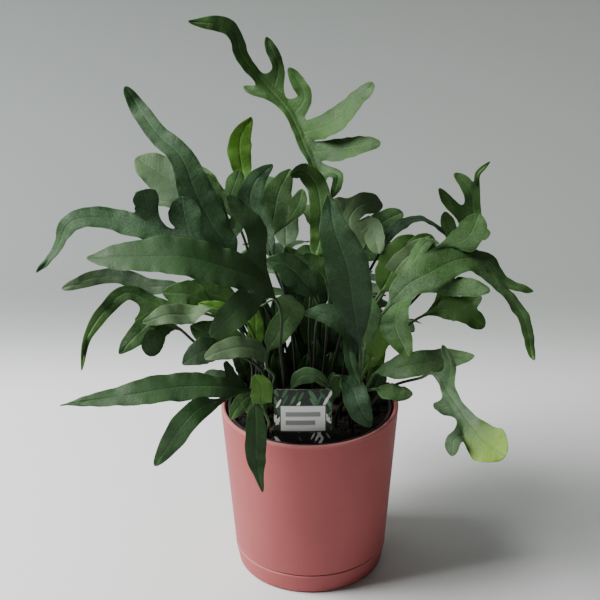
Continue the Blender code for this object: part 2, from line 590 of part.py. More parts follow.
def frond_sheet(frond, base_height):
    """A frond as a sheet in steps from the rim's centre: its points, half thicknesses and faces."""
    foot = np.array([*frond.base, base_height / STEP])
    path = [foot, foot + (0, 0, STEM_SOCKET), *map(np.array, frond.stalk), *map(np.array, frond.blade)]
    line = smooth_curve(path, CURVE_SAMPLES)
    gaps = np.linalg.norm(np.diff(line, axis=0), axis=1)
    whole = gaps.sum()
    stalk_length = gaps[: CURVE_SAMPLES * (len(path) - len(frond.blade))].sum()
    blade_length = whole - stalk_length
    ribbon = Ribbon(line, frond.face, (stalk_length + 0.5 * blade_length) / whole)

    rows = max(LEAST_ROWS, round(blade_length / ROW_LENGTH))
    stalk_count = max(2, round(stalk_length / STEM_ROW_LENGTH))
    distances = [0.0, STEM_SOCKET]
    distances += [stalk_length * k / stalk_count for k in range(1, stalk_count)]
    stalk_count += 1
    distances += [stalk_length + blade_length * k / rows for k in range(rows + 1)]
    stem = STEM_DIAMETER / 2 / STEP
    leaf = LEAF_THICKNESS / 2 / STEP

    verts, thick, faces, grid = [], [], [], []

    def add(point, half):
        verts.append(point)
        thick.append(half)
        return len(verts) - 1

    for distance in distances:
        share = (distance - stalk_length) / blade_length
        half = stem
        if share > 0:
            half = max(frond.width / 2 * width_at(frond.shape, min(share, 1.0)), 0.5 * stem)
        point, _, up, right = ribbon.at(distance)
        middle = stem + (leaf - stem) * min(max(share / STALK_FADE, 0.0), 1.0)
        rise = KEEL * half * up if share > 0 else 0 * up
        left_edge = add(point - half * right + rise, 0.0)
        rib = add(point, middle)
        grid.append([left_edge, rib, add(point + half * right + rise, 0.0)])
    for low, high in zip(grid, grid[1:]):
        faces += [(low[0], low[1], high[1], high[0]), (low[1], low[2], high[2], high[1])]

    taken = {-1: 0, 1: 0}
    for share, points, width in sorted(frond.lobes):
        middle = stalk_length + share * blade_length
        point, forward, up, right = ribbon.at(middle)
        side = 1 if (np.array(points[0]) - point).dot(right) > 0 else -1
        span = max(1, round(0.5 * width / (blade_length / rows)))
        first = max(round(share * rows) - span, taken[side])
        last = min(first + 2 * span, rows - 1)
        taken[side] = last
        if last - first < 2:
            continue
        column = 2 if side > 0 else 0
        edge = [grid[stalk_count + k][column] for k in range(first, last + 1)]
        for index in edge[1:-1]:
            thick[index] = leaf * SINUS_THICKNESS
        edge_points = np.array([verts[k] for k in edge])
        start = edge_points.mean(axis=0)
        route = [start, *map(np.array, points)]
        if len(points) == 1:
            reach = np.linalg.norm(route[1] - start)
            out = unit(side * right + LOBE_LEAN * forward)
            route.insert(1, (start + route[1]) / 2 + LOBE_BOW * reach * out)
        lobe = Ribbon(smooth_curve(route, CURVE_SAMPLES), up, 0.0)
        spread = np.linspace(-1, 1, len(edge))
        previous = edge
        for k in range(1, LOBE_ROWS + 1):
            share_out = 1 - (1 - k / LOBE_ROWS) ** LOBE_CROWDING
            point, _, up_l, right_l = lobe.at(share_out * lobe.length)
            half = max(width / 2 * width_at(LOBE, share_out), 0.5 * stem)
            own = point + np.outer(spread * half, -side * right_l)
            shifted = edge_points + point - start
            blend = min(share_out / LOBE_FLARE, 1.0)
            blend = blend * blend * (3 - 2 * blend)
            placed = own * blend + shifted * (1 - blend)
            row = []
            for number, position in enumerate(placed):
                rim = number in (0, len(edge) - 1)
                lift = KEEL * half * blend * abs(spread[number])
                row.append(add(position + lift * up_l, 0.0 if rim else leaf * LOBE_THICKNESS))
            for a in range(len(edge) - 1):
                faces.append((previous[a], row[a], row[a + 1], previous[a + 1])[:: side])
            previous = row
    return np.array(verts), np.array(thick), faces


def triangles(verts, faces):
    """Each four-sided face cut along its shorter diagonal, so that both sides of the sheet bend alike."""
    cut_faces = []
    for a, b, c, d in faces:
        if np.linalg.norm(verts[a] - verts[c]) < np.linalg.norm(verts[b] - verts[d]):
            cut_faces += [(a, b, c), (a, c, d)]
        else:
            cut_faces += [(a, b, d), (b, c, d)]
    return cut_faces


def sheet_normals(verts, faces):
    """Each point's upward direction: the mean of its triangles', by area."""
    normals = np.zeros_like(verts)
    for a, b, c in faces:
        flat = np.cross(verts[b] - verts[a], verts[c] - verts[a])
        for k in (a, b, c):
            normals[k] += flat
    return unit(normals)


def build_frond(frond):
    """The frond's sheet with its thickness: a solid that thins to its margins."""
    base = ground(frond.base[0] * STEP, frond.base[1] * STEP) - POT_HEIGHT
    verts, thick, faces = frond_sheet(frond, base)
    faces = triangles(verts, faces)
    normals = sheet_normals(verts, faces)
    inner = [k for k in range(len(verts)) if thick[k] > 0]
    under = dict(zip(inner, range(len(verts), len(verts) + len(inner))))
    top = verts + normals * thick[:, None]
    bottom = verts[inner] - normals[inner] * thick[inner, None]
    solid = np.vstack([top, bottom]) * STEP + (0, 0, POT_HEIGHT)
    below = [tuple(under.get(k, k) for k in face)[::-1] for face in faces]
    name = "frond_" + frond.name
    add_object(name, mesh_from(name, solid, closed_faces(faces, below, under)), frond.leaf)


def closed_faces(upper, lower, under):
    """Both sides' faces, with a face across each open edge that the thickness parts."""
    seen = {}
    for face in upper:
        for a, b in zip(face, face[1:] + face[:1]):
            seen[(a, b)] = seen.get((a, b), 0) + 1
    walls = []
    for (a, b) in seen:
        if (b, a) in seen or (a not in under and b not in under):
            continue
        corners = [b, a, under.get(a, a), under.get(b, b)]
        walls.append(tuple(dict.fromkeys(corners)))
    return [*upper, *lower, *walls]


def arching_frond(arch):
    """A frond that rises from the soil, arches outwards and droops, with lobes in turn on both sides."""
    angle = math.radians(arch.azimuth)
    out = np.array([math.cos(angle), math.sin(angle), 0.0])
    across = np.array([-out[1], out[0], 0.0])

    def place(reach, height, droop):
        distance = arch.root + (arch.reach - arch.root) * reach
        return out * distance + (0, 0, arch.height * height - arch.droop * droop)

    stalk = tuple(place(*shares) for shares in ARCH_STALK)
    blade = tuple(place(*shares) for shares in ARCH_BLADE)
    lobes = []
    for number, share in enumerate(ARCH_LOBES):
        side = 1 if number % 2 else -1
        sideways = ARCH_LOBE_REACH * (1 - ARCH_LOBE_FADE * share)
        tip = place(ARCH_LOBE_FIRST + ARCH_LOBE_SPREAD * share, ARCH_LOBE_HEIGHT, 0)
        lobes.append((share, (tuple(tip + across * side * sideways),), arch.width * ARCH_LOBE_WIDTH))
    return Frond(arch.name, tuple(out[:2] * arch.root), stalk, blade, arch.width, WINGED,
                 tuple(out * 0.3 + (0, 0, 1)), arch.leaf, tuple(lobes))


def build_rhizome(rhizome):
    """A creeping stem that lies on the soil: a round rod with tapered ends."""
    radius = RHIZOME_DIAMETER / 2
    line = smooth_curve([(*p, 0) for p in rhizome.points], 3) * STEP
    line[:, 2] = SOIL_TOP + TOUCH_GAP + radius
    ribbon = Ribbon(line, (0, 0, 1), 0.0)
    sides = RHIZOME_SIDES
    verts, faces = [], []
    last = len(line) - 1
    for k, point in enumerate(line):
        size = radius * (RHIZOME_END if k in (0, last) else 1.0)
        right = unit(np.cross(ribbon.forward[k], ribbon.up[k]))
        for number in range(sides):
            angle = math.tau * number / sides
            verts.append(point + size * (math.cos(angle) * right + math.sin(angle) * ribbon.up[k]))
    for k in range(last):
        for number in range(sides):
            a, b = k * sides + number, k * sides + (number + 1) % sides
            faces.append((a, b, b + sides, a + sides))
    faces.append(tuple(range(sides)))
    faces.append(tuple(last * sides + number for number in range(sides)))
    add_object(rhizome.name, mesh_from(rhizome.name, verts, faces), "rhizome")


def main():
    for old in list(bpy.data.objects):
        bpy.data.objects.remove(old, do_unlink=True)
    build_saucer()
    build_outer_pot()
    build_nursery_pot()
    soil = build_potting_mix()
    label_object("plant_label", 0.0)
    cut(soil, label_object("label_slot", TOUCH_GAP))
    for rhizome in RHIZOMES:
        build_rhizome(rhizome)
    for frond in [*FRONDS, *map(arching_frond, ARCHES)]:
        build_frond(frond)


main()
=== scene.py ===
# %% [markdown]
# # A blue star fern in a pink pot
#
# This script dresses a imported CAD model of a potted fern. The CAD model is plain: every frond
# is a coarse thin solid and every pot a 48-sided turning. Here each piece is made again at the
# fineness that the eye expects, in the same place and at the same size, and gets a finish that
# is worked out by shader nodes. The first cell loads the CAD model, and the next one reads the
# boxes of its parts. The finished plant has to stay inside it.

import math
from collections import namedtuple

import bmesh
import bpy
import numpy as np
from mathutils import Matrix, Vector, noise


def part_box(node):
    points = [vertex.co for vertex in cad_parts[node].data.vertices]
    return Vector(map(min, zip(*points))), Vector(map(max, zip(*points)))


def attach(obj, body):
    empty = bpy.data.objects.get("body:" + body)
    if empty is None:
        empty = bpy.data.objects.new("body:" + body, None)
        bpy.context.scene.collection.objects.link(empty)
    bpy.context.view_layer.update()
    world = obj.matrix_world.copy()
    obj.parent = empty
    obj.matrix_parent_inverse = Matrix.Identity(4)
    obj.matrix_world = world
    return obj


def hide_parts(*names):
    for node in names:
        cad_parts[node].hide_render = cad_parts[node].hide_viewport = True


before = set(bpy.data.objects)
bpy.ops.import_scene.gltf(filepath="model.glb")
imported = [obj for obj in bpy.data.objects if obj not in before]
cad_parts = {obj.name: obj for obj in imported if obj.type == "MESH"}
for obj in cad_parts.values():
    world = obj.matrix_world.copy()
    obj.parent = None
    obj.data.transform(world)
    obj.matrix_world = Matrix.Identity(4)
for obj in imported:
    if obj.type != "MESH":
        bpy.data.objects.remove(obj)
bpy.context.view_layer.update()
BODY = "root"

# %% [markdown]
# The sizes that the pieces share are read from the CAD boxes. The fern's places are counted in
# steps from the centre of the pot's rim. One step is 1/7.75 of the rim's radius, which is a
# centimetre on this pot, so that a frond's table of points reads like notes made with a ruler.

# %% Sizes read from the CAD model
pot_low, pot_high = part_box("outer_pot")
saucer_low, saucer_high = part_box("saucer")
liner_low, liner_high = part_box("nursery_pot")
soil_low, soil_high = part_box("potting_mix")
RIM_RADIUS = (pot_high.x - pot_low.x) / 2
POT_TOP = pot_high.z
SOIL_TOP = soil_high.z
STEP = RIM_RADIUS / 7.75
MM = 0.001
print("rim radius", round(RIM_RADIUS, 4), "pot top", round(POT_TOP, 4), "soil top", round(SOIL_TOP, 4))

# %% [markdown]
# ## The camera
# The plant is seen from a little above, about 25 degrees down, through a long lens from a
# metre and a half away. A long lens keeps the pot's sides nearly parallel.

# %% Camera
LOOK_DOWN = math.radians(25.5)
CAMERA_AWAY = 1.53
CAMERA_TILT = math.radians(-0.44)
AIM = Vector((-0.0078, 0.0, 0.255))
LENS_MM = 108.0

towards_camera = Vector((0.0, -math.cos(LOOK_DOWN), math.sin(LOOK_DOWN)))
camera_data = bpy.data.cameras.new("camera")
camera_data.lens = LENS_MM
camera_data.sensor_width = 36.0
camera = bpy.data.objects.new("camera", camera_data)
bpy.context.scene.collection.objects.link(camera)
turn = (-towards_camera).to_track_quat("-Z", "Y").to_matrix().to_4x4()
place = Matrix.Translation(AIM + towards_camera * CAMERA_AWAY)
camera.matrix_world = place @ turn @ Matrix.Rotation(CAMERA_TILT, 4, "Z")
bpy.context.scene.camera = camera
print("camera at", [round(v, 3) for v in camera.matrix_world.translation])

# %% [markdown]
# ## Small tools for shader nodes
# A shader is a graph, and wiring one up takes many calls of the same kind. `put` makes a node,
# sets its options and fills its sockets. A value that is itself a socket is linked instead of
# copied. `Group` opens a reusable node group, so that an effect which several materials share
# is wired once. Only colours, masks, heights and normals leave a group: the shader that uses
# them stays in each material.

# %% Node helpers
def put(tree, kind, *values, **options):
    """Adds a node, sets its options, and fills its sockets in order. None leaves a socket alone."""
    made = tree.nodes.new("ShaderNode" + kind)
    for name, value in options.items():
        setattr(made, name, value)
    for socket, value in zip(made.inputs, values):
        fill(tree, socket, value)
    return made


def fill(tree, socket, value):
    """Links a socket to another one, or sets its value."""
    if isinstance(value, bpy.types.NodeSocket):
        tree.links.new(value, socket)
    elif value is not None:
        socket.default_value = value


def calc(tree, operation, *values):
    """The result of one Math node."""
    return put(tree, "Math", *values, operation=operation).outputs[0]


def times(tree, first, second):
    return calc(tree, "MULTIPLY", first, second)


def plus(tree, first, second):
    return calc(tree, "ADD", first, second)


def minus(tree, first, second):
    return calc(tree, "SUBTRACT", first, second)


def mix_colour(tree, amount, first, second):
    """A colour between two others."""
    made = put(tree, "Mix", data_type="RGBA")
    for index, value in ((0, amount), (6, first), (7, second)):
        fill(tree, made.inputs[index], value)
    return made.outputs[2]


def tinted(tree, colour, tint, mask, amount):
    """A colour with some of a tint laid over it, where a mask is high."""
    return mix_colour(tree, times(tree, mask, amount), colour, tint)


def split(tree, vector):
    """The three parts of a vector."""
    return put(tree, "SeparateXYZ", vector).outputs


def steps_between(tree, value, low, high, start=0.0, stop=1.0):
    """The value's smooth rise from start to stop, as it goes from low to high."""
    made = put(tree, "MapRange", interpolation_type="SMOOTHSTEP")
    for socket, number in zip(made.inputs, (value, low, high, start, stop)):
        fill(tree, socket, number)
    return made.outputs[0]


class Group:
    """A node group that is being wired: its tree, its inputs by name, and its outputs.

    An input without a value is a place, and the others and all the outputs are numbers.
    """

    def __init__(self, name, inputs, outputs):
        self.tree = bpy.data.node_groups.new(name, "ShaderNodeTree")
        for label, value in inputs.items():
            kind = "NodeSocketVector" if value is None else "NodeSocketFloat"
            socket = self.tree.interface.new_socket(label, in_out="INPUT", socket_type=kind)
            if value is not None:
                socket.default_value = value
        for label in outputs:
            self.tree.interface.new_socket(label, in_out="OUTPUT", socket_type="NodeSocketFloat")
        self.inputs = self.tree.nodes.new("NodeGroupInput").outputs
        self.outputs = self.tree.nodes.new("NodeGroupOutput").inputs

    def send(self, label, socket):
        self.tree.links.new(socket, self.outputs[label])

    def use(self, tree, **values):
        """Places the group in a material and fills its sockets by name. An underscore is a space."""
        made = tree.nodes.new("ShaderNodeGroup")
        made.node_tree = self.tree
        for name, value in values.items():
            fill(tree, made.inputs[name.replace("_", " ")], value)
        return made.outputs


def new_material(name, **sockets):
    """A material with a Principled BSDF, and its constant sockets set."""
    made = bpy.data.materials.new(name)
    made.use_nodes = True
    shader = made.node_tree.nodes["Principled BSDF"]
    for socket, value in sockets.items():
        shader.inputs[socket.replace("_", " ")].default_value = value
    return made, made.node_tree, shader


def dress(tree, shader, colour, rough=None, relief=None, depth=0.0):
    """Feeds a finish to the shader. The relief's depth is in metres."""
    fill(tree, shader.inputs["Base Color"], colour)
    fill(tree, shader.inputs["Roughness"], rough)
    if relief is not None:
        made = put(tree, "Bump")
        made.inputs["Strength"].default_value = 1.0
        made.inputs["Distance"].default_value = depth
        fill(tree, made.inputs["Height"], relief)
        fill(tree, shader.inputs["Normal"], made.outputs["Normal"])


print("node helpers ready")

# %% [markdown]
# ## Effects that several finishes share
# Fired clay, moulded plastic, printed card and a leaf all have some fine grain, and all vary a
# little in tone from place to place. `grain` gives a fine height, and `mottle` a soft mask with
# an adjustable contrast. Both use the object's own coordinates in metres, so that a grain of
# half a millimetre is half a millimetre on every piece.

# %% Shared effects: grain and mottle
def place_in_metres(tree):
    return put(tree, "TexCoord").outputs["Object"]


def per_metre(group, socket="Size mm"):
    """A texture's scale, from a group's input for a size in millimetres."""
    return calc(group.tree, "DIVIDE", 1.0 / MM, group.inputs[socket])


grain = Group("fine_grain", {"Place": None, "Size mm": 1.0, "Roughness": 0.6}, ("Height", "Mask"))
speckle = put(grain.tree, "TexNoise", grain.inputs["Place"], None, per_metre(grain), 3.0,
              grain.inputs["Roughness"])
grain.send("Height", speckle.outputs[0])
grain.send("Mask", steps_between(grain.tree, speckle.outputs[0], 0.35, 0.65))

mottle = Group("soft_mottle", {"Place": None, "Size mm": 30.0, "Contrast": 1.0}, ("Mask",))
cloud = put(mottle.tree, "TexNoise", mottle.inputs["Place"], None, per_metre(mottle), 2.0, 0.5)
centred = minus(mottle.tree, cloud.outputs[0], 0.5)
spread = times(mottle.tree, centred, mottle.inputs["Contrast"])
mottle.send("Mask", put(mottle.tree, "Clamp", plus(mottle.tree, spread, 0.5)).outputs[0])


def grainy(tree, size_mm, roughness):
    """Fine grain over a material: its height and its mask."""
    return grain.use(tree, Place=place_in_metres(tree), Size_mm=size_mm, Roughness=roughness)


def patchy(tree, size_mm, contrast):
    """A soft mask over a material, in patches of about this size."""
    return mottle.use(tree, Place=place_in_metres(tree), Size_mm=size_mm, Contrast=contrast)["Mask"]


print("groups:", [tree.name for tree in bpy.data.node_groups])

# %% [markdown]
# ## Small tools for meshes
# The round pieces are turned from half a section, as a potter's wheel or a lathe would do it.
# `turned` takes (radius, height) points and makes the surface with 160 sides, enough to look
# round in a close view. `arc` rounds a corner of the section. `finished` gives a mesh its
# material and its body, and hides the CAD nodes it stands for.

# %% Mesh helpers
ROUND_SIDES = 160


def arc(centre, radius, start, stop, count=8):
    """Points of an arc in a turned section, its angles in degrees."""
    angles = [math.radians(start + (stop - start) * k / count) for k in range(count + 1)]
    return [(centre[0] + radius * math.cos(a), centre[1] + radius * math.sin(a)) for a in angles]


def mesh_from(name, verts, faces):
    """A mesh with its faces pointing out."""
    mesh = bpy.data.meshes.new(name)
    mesh.from_pydata([tuple(v) for v in verts], [], [tuple(f) for f in faces])
    bm = bmesh.new()
    bm.from_mesh(mesh)
    bmesh.ops.recalc_face_normals(bm, faces=bm.faces)
    bm.to_mesh(mesh)
    bm.free()
    return mesh


def turned(name, section, closed=True):
    """A surface of revolution about the Z axis. An open section starts and ends on the axis."""
    bm = bmesh.new()
    verts = [bm.verts.new((r, 0.0, z)) for r, z in section]
    pairs = list(zip(verts, verts[1:] + verts[:1]))
    edges = [bm.edges.new(pair) for pair in (pairs if closed else pairs[:-1])]
    bmesh.ops.spin(bm, geom=verts + edges, cent=(0, 0, 0), axis=(0, 0, 1), angle=math.tau,
                   steps=ROUND_SIDES, use_merge=True, use_duplicate=False)
    bmesh.ops.remove_doubles(bm, verts=bm.verts, dist=1e-6)
    bmesh.ops.recalc_face_normals(bm, faces=bm.faces)
    mesh = bpy.data.meshes.new(name)
    bm.to_mesh(mesh)
    bm.free()
    return mesh


def finished(mesh, material, stands_for=(), sharp=40):
    """Puts a mesh in the scene as a finished piece of the plant, under the mesh's name."""
    made = bpy.data.objects.new(mesh.name, mesh)
    bpy.context.scene.collection.objects.link(made)
    mesh.materials.append(material)
    mesh.shade_smooth()
    mesh.set_sharp_from_angle(angle=math.radians(sharp))
    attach(made, BODY)
    if stands_for:
        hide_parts(*stands_for)
    return made


print("mesh helpers ready")


# %% [markdown]
# ## Floor, backdrop and light
# The plant stands on a seamless sweep of pale grey card: a floor that curves up into a wall
# with no line between them. Painted shade darkens the card's colour up the wall and towards the
# right, where less light falls. The main light is a large soft box high on the left. It gives
# the pot a bright left side that falls away to the right, and a wide soft shadow. Two much
# weaker boxes, one in front and one above, keep the leaves' shaded sides readable. The card's
# back lets light through, so the plant can be seen from behind it, and the room past the card
# looks as pale as the card, though it lights the plant only a little.

# %% Seamless sweep
SWEEP_HALF_WIDTH = 6.0
SWEEP_FRONT = -6.0
SWEEP_BEND_START = 0.42
SWEEP_BEND_RADIUS = 0.32
SWEEP_HEIGHT = 3.0
CARD_PALE = (0.77, 0.785, 0.775, 1)
CARD_FLOOR = (0.73, 0.745, 0.74, 1)
# Painted shade: the wall's colour and the right side's colour are darker, where less light falls
CARD_WALL_PAINTED_SHADE = (0.240, 0.259, 0.249, 1)
CARD_RIGHT_PAINTED_SHADE = (0.38, 0.39, 0.37, 1)

section = [(SWEEP_FRONT, 0.0)]
section += arc((SWEEP_BEND_START, SWEEP_BEND_RADIUS), SWEEP_BEND_RADIUS, -90, 0, 24)
section += [(SWEEP_BEND_START + SWEEP_BEND_RADIUS, SWEEP_HEIGHT)]
verts = [(side * SWEEP_HALF_WIDTH, y, z) for y, z in section for side in (-1, 1)]
faces = [(2 * k, 2 * k + 1, 2 * k + 3, 2 * k + 2) for k in range(len(section) - 1)]
sweep_mesh = bpy.data.meshes.new("sweep")
sweep_mesh.from_pydata(verts, [], faces)
sweep_mesh.shade_smooth()
sweep = bpy.data.objects.new("sweep", sweep_mesh)
bpy.context.scene.collection.objects.link(sweep)

card, tree, shader = new_material("pale_sweep", Roughness=0.75)
tone = patchy(tree, 400.0, 0.8)
floor_tone = mix_colour(tree, tone, CARD_FLOOR, CARD_PALE)
across, back, _ = split(tree, place_in_metres(tree))
# painted shade: the card's colour darkens up the wall and towards the right
away = steps_between(tree, back, 0.28, 0.54)
colour = mix_colour(tree, away, floor_tone, CARD_WALL_PAINTED_SHADE)
right = steps_between(tree, across, -0.3, 0.55, 0.0, 0.4)
dress(tree, shader, mix_colour(tree, right, colour, CARD_RIGHT_PAINTED_SHADE))
seen_from_behind = put(tree, "NewGeometry").outputs["Backfacing"]
clear = put(tree, "BsdfTransparent").outputs[0]
surface = put(tree, "MixShader", seen_from_behind, shader.outputs[0], clear).outputs[0]
tree.links.new(surface, tree.nodes["Material Output"].inputs["Surface"])
sweep_mesh.materials.append(card)
print("sweep:", len(faces), "faces")

# %% Lights
PALE_ROOM = (0.80, 0.81, 0.82, 1)
ROOM_LIGHT = 0.04
ROOM_SEEN = 0.55


def soft_box(name, place, size, power, tint=(1.0, 1.0, 1.0)):
    """A square area light that looks at the middle of the plant."""
    data = bpy.data.lights.new(name, "AREA")
    data.shape = "SQUARE"
    data.size = size
    data.energy = power
    data.color = tint
    made = bpy.data.objects.new(name, data)
    bpy.context.scene.collection.objects.link(made)
    made.location = place
    made.rotation_euler = (AIM - Vector(place)).to_track_quat("-Z", "Y").to_euler()


soft_box("key_box", (-1.55, -0.18, 1.80), 1.15, 130.0, (0.985, 0.995, 0.985))
soft_box("fill_box", (1.2, -1.7, 1.6), 1.4, 2.4)
soft_box("top_box", (0.2, 0.5, 2.3), 1.5, 4.0)
world = bpy.data.worlds.new("studio")
world.use_nodes = True
tree = world.node_tree
ambient = tree.nodes["Background"]
ambient.inputs["Color"].default_value = PALE_ROOM
ambient.inputs["Strength"].default_value = ROOM_LIGHT
surround = put(tree, "Background", PALE_ROOM, ROOM_SEEN).outputs[0]
seen = put(tree, "LightPath").outputs["Is Camera Ray"]
shown = put(tree, "MixShader", seen, ambient.outputs[0], surround).outputs[0]
tree.links.new(shown, tree.nodes["World Output"].inputs["Surface"])
bpy.context.scene.world = world
print("lights:", [light.name for light in bpy.data.lights])


# %% [markdown]
# ## The ceramic pot and its saucer
# The pot is slip-cast clay with a matte pink glaze. Up close such a glaze is not one colour: it
# has a fine pebbled grain from the clay under it, and here and there a pinhole. Paler pink bands
# along the rim and the saucer's edges are painted highlights, where light catches the rounded
# lips. A mask by height finds these edges. The pinholes are the very middles of Voronoi cells.

# %% Matte pink glaze
PINK = (0.405, 0.093, 0.093, 1)
PINK_DEEP = (0.350, 0.076, 0.077, 1)
# Painted highlight colour for the rims, also used for the paler specks of the grain
PINK_HIGHLIGHT_AND_GRAIN = (0.545, 0.215, 0.210, 1)
GLAZE_PIT = (0.16, 0.05, 0.045, 1)

pinholes = Group("pinholes", {"Place": None, "Size mm": 6.0, "Share": 0.06}, ("Mask",))
cells = put(pinholes.tree, "TexVoronoi", pinholes.inputs["Place"], None, per_metre(pinholes))
pit = steps_between(pinholes.tree, cells.outputs["Distance"], 0.02, pinholes.inputs["Share"])
pinholes.send("Mask", minus(pinholes.tree, 1.0, pit))


def pink_glaze(name, edges):
    """The glaze, with painted highlights: paler within a few millimetres of each height in edges."""
    made, tree, shader = new_material(name, Specular_IOR_Level=0.3)
    where = place_in_metres(tree)
    height = split(tree, where)[2]
    colour = mix_colour(tree, patchy(tree, 45.0, 1.6), PINK, PINK_DEEP)
    # painted highlight: a paler band along each rim, where light catches the rounded lip
    for edge, reach in edges:
        away = calc(tree, "ABSOLUTE", minus(tree, height, edge))
        pale_band = steps_between(tree, away, 0.0, reach, 0.55, 0.0)
        colour = mix_colour(tree, pale_band, colour, PINK_HIGHLIGHT_AND_GRAIN)
    fine = grainy(tree, 0.9, 0.7)
    colour = tinted(tree, colour, PINK_HIGHLIGHT_AND_GRAIN, fine["Mask"], 0.10)
    pits = pinholes.use(tree, Place=where, Size_mm=9.0, Share=0.05)["Mask"]
    colour = tinted(tree, colour, GLAZE_PIT, pits, 0.5)
    rough = steps_between(tree, fine["Height"], 0.3, 0.7, 0.50, 0.62)
    relief = plus(tree, fine["Height"], times(tree, patchy(tree, 14.0, 1.0), 2.0))
    relief = minus(tree, relief, times(tree, pits, 1.5))
    dress(tree, shader, colour, rough, relief, 0.05 * MM)
    return made


pot_glaze = pink_glaze("pink_glaze_pot", ((POT_TOP, 3.5 * MM), (saucer_high.z, 2.5 * MM)))
saucer_glaze = pink_glaze("pink_glaze_saucer", ((saucer_high.z, 2.2 * MM), (0.0, 3.0 * MM)))
print("glazes:", pot_glaze.name, saucer_glaze.name)

# %% [markdown]
# The saucer's wall carries on the line of the pot's, with a dark gap of under a millimetre
# between the two. The pot stands in the saucer on a narrower foot, so the gap is a real step
# that catches shadow and not a painted line.

# %% Saucer and pot
POT_WALL = 4.0 * MM
POT_FLOOR = 6.0 * MM
SAUCER_WALL = 5.0 * MM
SAUCER_FLOOR = 6.0 * MM
SAUCER_FOOT_TAPER = 2.7 * MM
SAUCER_EDGE = 4.0 * MM
SAUCER_LIP = 1.4 * MM
SAUCER_INNER_LIP = 0.6 * MM
SAUCER_HOLLOW = 0.9 * MM
HOLLOW_SHARE = 0.62
FOOT_RING_SHARE = 0.64
SHADOW_GAP = 0.8 * MM
SPIGOT_CLEARANCE = 0.6 * MM
SPIGOT_CHAMFER = 1.0 * MM
POT_HEEL = 0.9 * MM
DRAIN_RADIUS = 9.0 * MM

foot_radius = (saucer_high.x - saucer_low.x) / 2
saucer_bore = foot_radius - SAUCER_WALL
section = [(0.0, SAUCER_HOLLOW), (foot_radius * HOLLOW_SHARE, SAUCER_HOLLOW)]
section += [(foot_radius * FOOT_RING_SHARE, 0.0)]
section += arc((foot_radius - SAUCER_FOOT_TAPER - SAUCER_EDGE, SAUCER_EDGE), SAUCER_EDGE, -90, 0)
section += arc((foot_radius - SAUCER_LIP, saucer_high.z - SAUCER_LIP), SAUCER_LIP, 0, 90)
section += arc((saucer_bore + SAUCER_INNER_LIP, saucer_high.z - SAUCER_INNER_LIP), SAUCER_INNER_LIP,
               90, 180, 4)
section += [(saucer_bore, SAUCER_FLOOR), (0.0, SAUCER_FLOOR)]
saucer = finished(turned("saucer_glazed", section, closed=False), saucer_glaze, ["saucer"])

spigot = saucer_bore - SPIGOT_CLEARANCE
step_z = saucer_high.z + SHADOW_GAP
lip = POT_WALL / 2


def pot_radius(z):
    """The pot's outer radius: a straight wall that widens from the saucer to the rim."""
    return foot_radius + (RIM_RADIUS - foot_radius) * (z - saucer_high.z) / (POT_TOP - saucer_high.z)


section = [(DRAIN_RADIUS, pot_low.z), (spigot - SPIGOT_CHAMFER, pot_low.z)]
section += [(spigot, pot_low.z + SPIGOT_CHAMFER), (spigot, step_z)]
section += arc((pot_radius(step_z) - POT_HEEL, step_z + POT_HEEL), POT_HEEL, -90, 0, 5)
section += arc((RIM_RADIUS - lip, POT_TOP - lip), lip, 2, 178, 14)
section += [(pot_radius(step_z + POT_WALL) - POT_WALL, step_z + POT_WALL)]
section += [(spigot - POT_WALL, pot_low.z + POT_FLOOR), (DRAIN_RADIUS, pot_low.z + POT_FLOOR)]
pot = finished(turned("outer_pot_glazed", section), pot_glaze, ["outer_pot"])
print("pot:", len(pot.data.polygons), "faces; saucer:", len(saucer.data.polygons), "faces")

# %% [markdown]
# ## The nursery pot
# Inside stands the grower's pot of thin black plastic. Only its rolled rim shows. It is made as
# a thin turned wall with a band at the top, and its finish is a dark moulded plastic with a
# faint grain and a dusting of dry soil that settles where the mottle mask is high.

# %% Nursery pot
LINER_WALL = 1.4 * MM
LINER_BAND_HEIGHT = 8.0 * MM
LINER_BAND_WIDTH = 1.2 * MM
LINER_TAPER = 14.0 * MM
LINER_ROLL = 0.65 * MM
LINER_BAND_EDGE = 0.4 * MM
PLASTIC_BLACK = (0.010, 0.010, 0.011, 1)
PLASTIC_DUSTY = (0.060, 0.045, 0.032, 1)

black_plastic, tree, shader = new_material("black_plastic")
fine = grainy(tree, 0.5, 0.6)
dusty = patchy(tree, 9.0, 3.0)
dusty = times(tree, dusty, steps_between(tree, fine["Height"], 0.45, 0.62))
colour = mix_colour(tree, dusty, PLASTIC_BLACK, PLASTIC_DUSTY)
dress(tree, shader, colour, steps_between(tree, dusty, 0.0, 1.0, 0.34, 0.8), fine["Height"], 0.04 * MM)

top_radius = (liner_high.x - liner_low.x) / 2
band_z = liner_high.z - LINER_BAND_HEIGHT
wall = top_radius - LINER_BAND_WIDTH
foot = wall - LINER_TAPER
roll_z = liner_high.z - LINER_ROLL
section = [(0.0, liner_low.z), (foot, liner_low.z), (wall, band_z), (top_radius, band_z + LINER_BAND_EDGE)]
section += arc((top_radius - LINER_ROLL, roll_z), LINER_ROLL, 0, 90, 5)
section += arc((wall - LINER_WALL + LINER_ROLL, roll_z), LINER_ROLL, 90, 180, 5)
section += [(wall - LINER_WALL, band_z)]
section += [(foot - LINER_WALL, liner_low.z + LINER_WALL), (0.0, liner_low.z + LINER_WALL)]
liner = turned("nursery_pot_moulded", section, closed=False)
liner = finished(liner, black_plastic, ["nursery_pot"])
print("nursery pot:", len(liner.data.polygons), "faces")


# %% [markdown]
# ## Potting mix
# Potting mix is peat and shredded bark: dark, crumbly and dull, with a few paler splinters. Its
# surface is a disc of fine rings pushed up and down by noise at two scales. Loose chips lie on
# it as real pieces, because a bump map alone would look painted from the side. Chips are boxes
# with their corners shaken, drawn from a seeded random source so that each run gives the same
# ones. They are joined in one object.

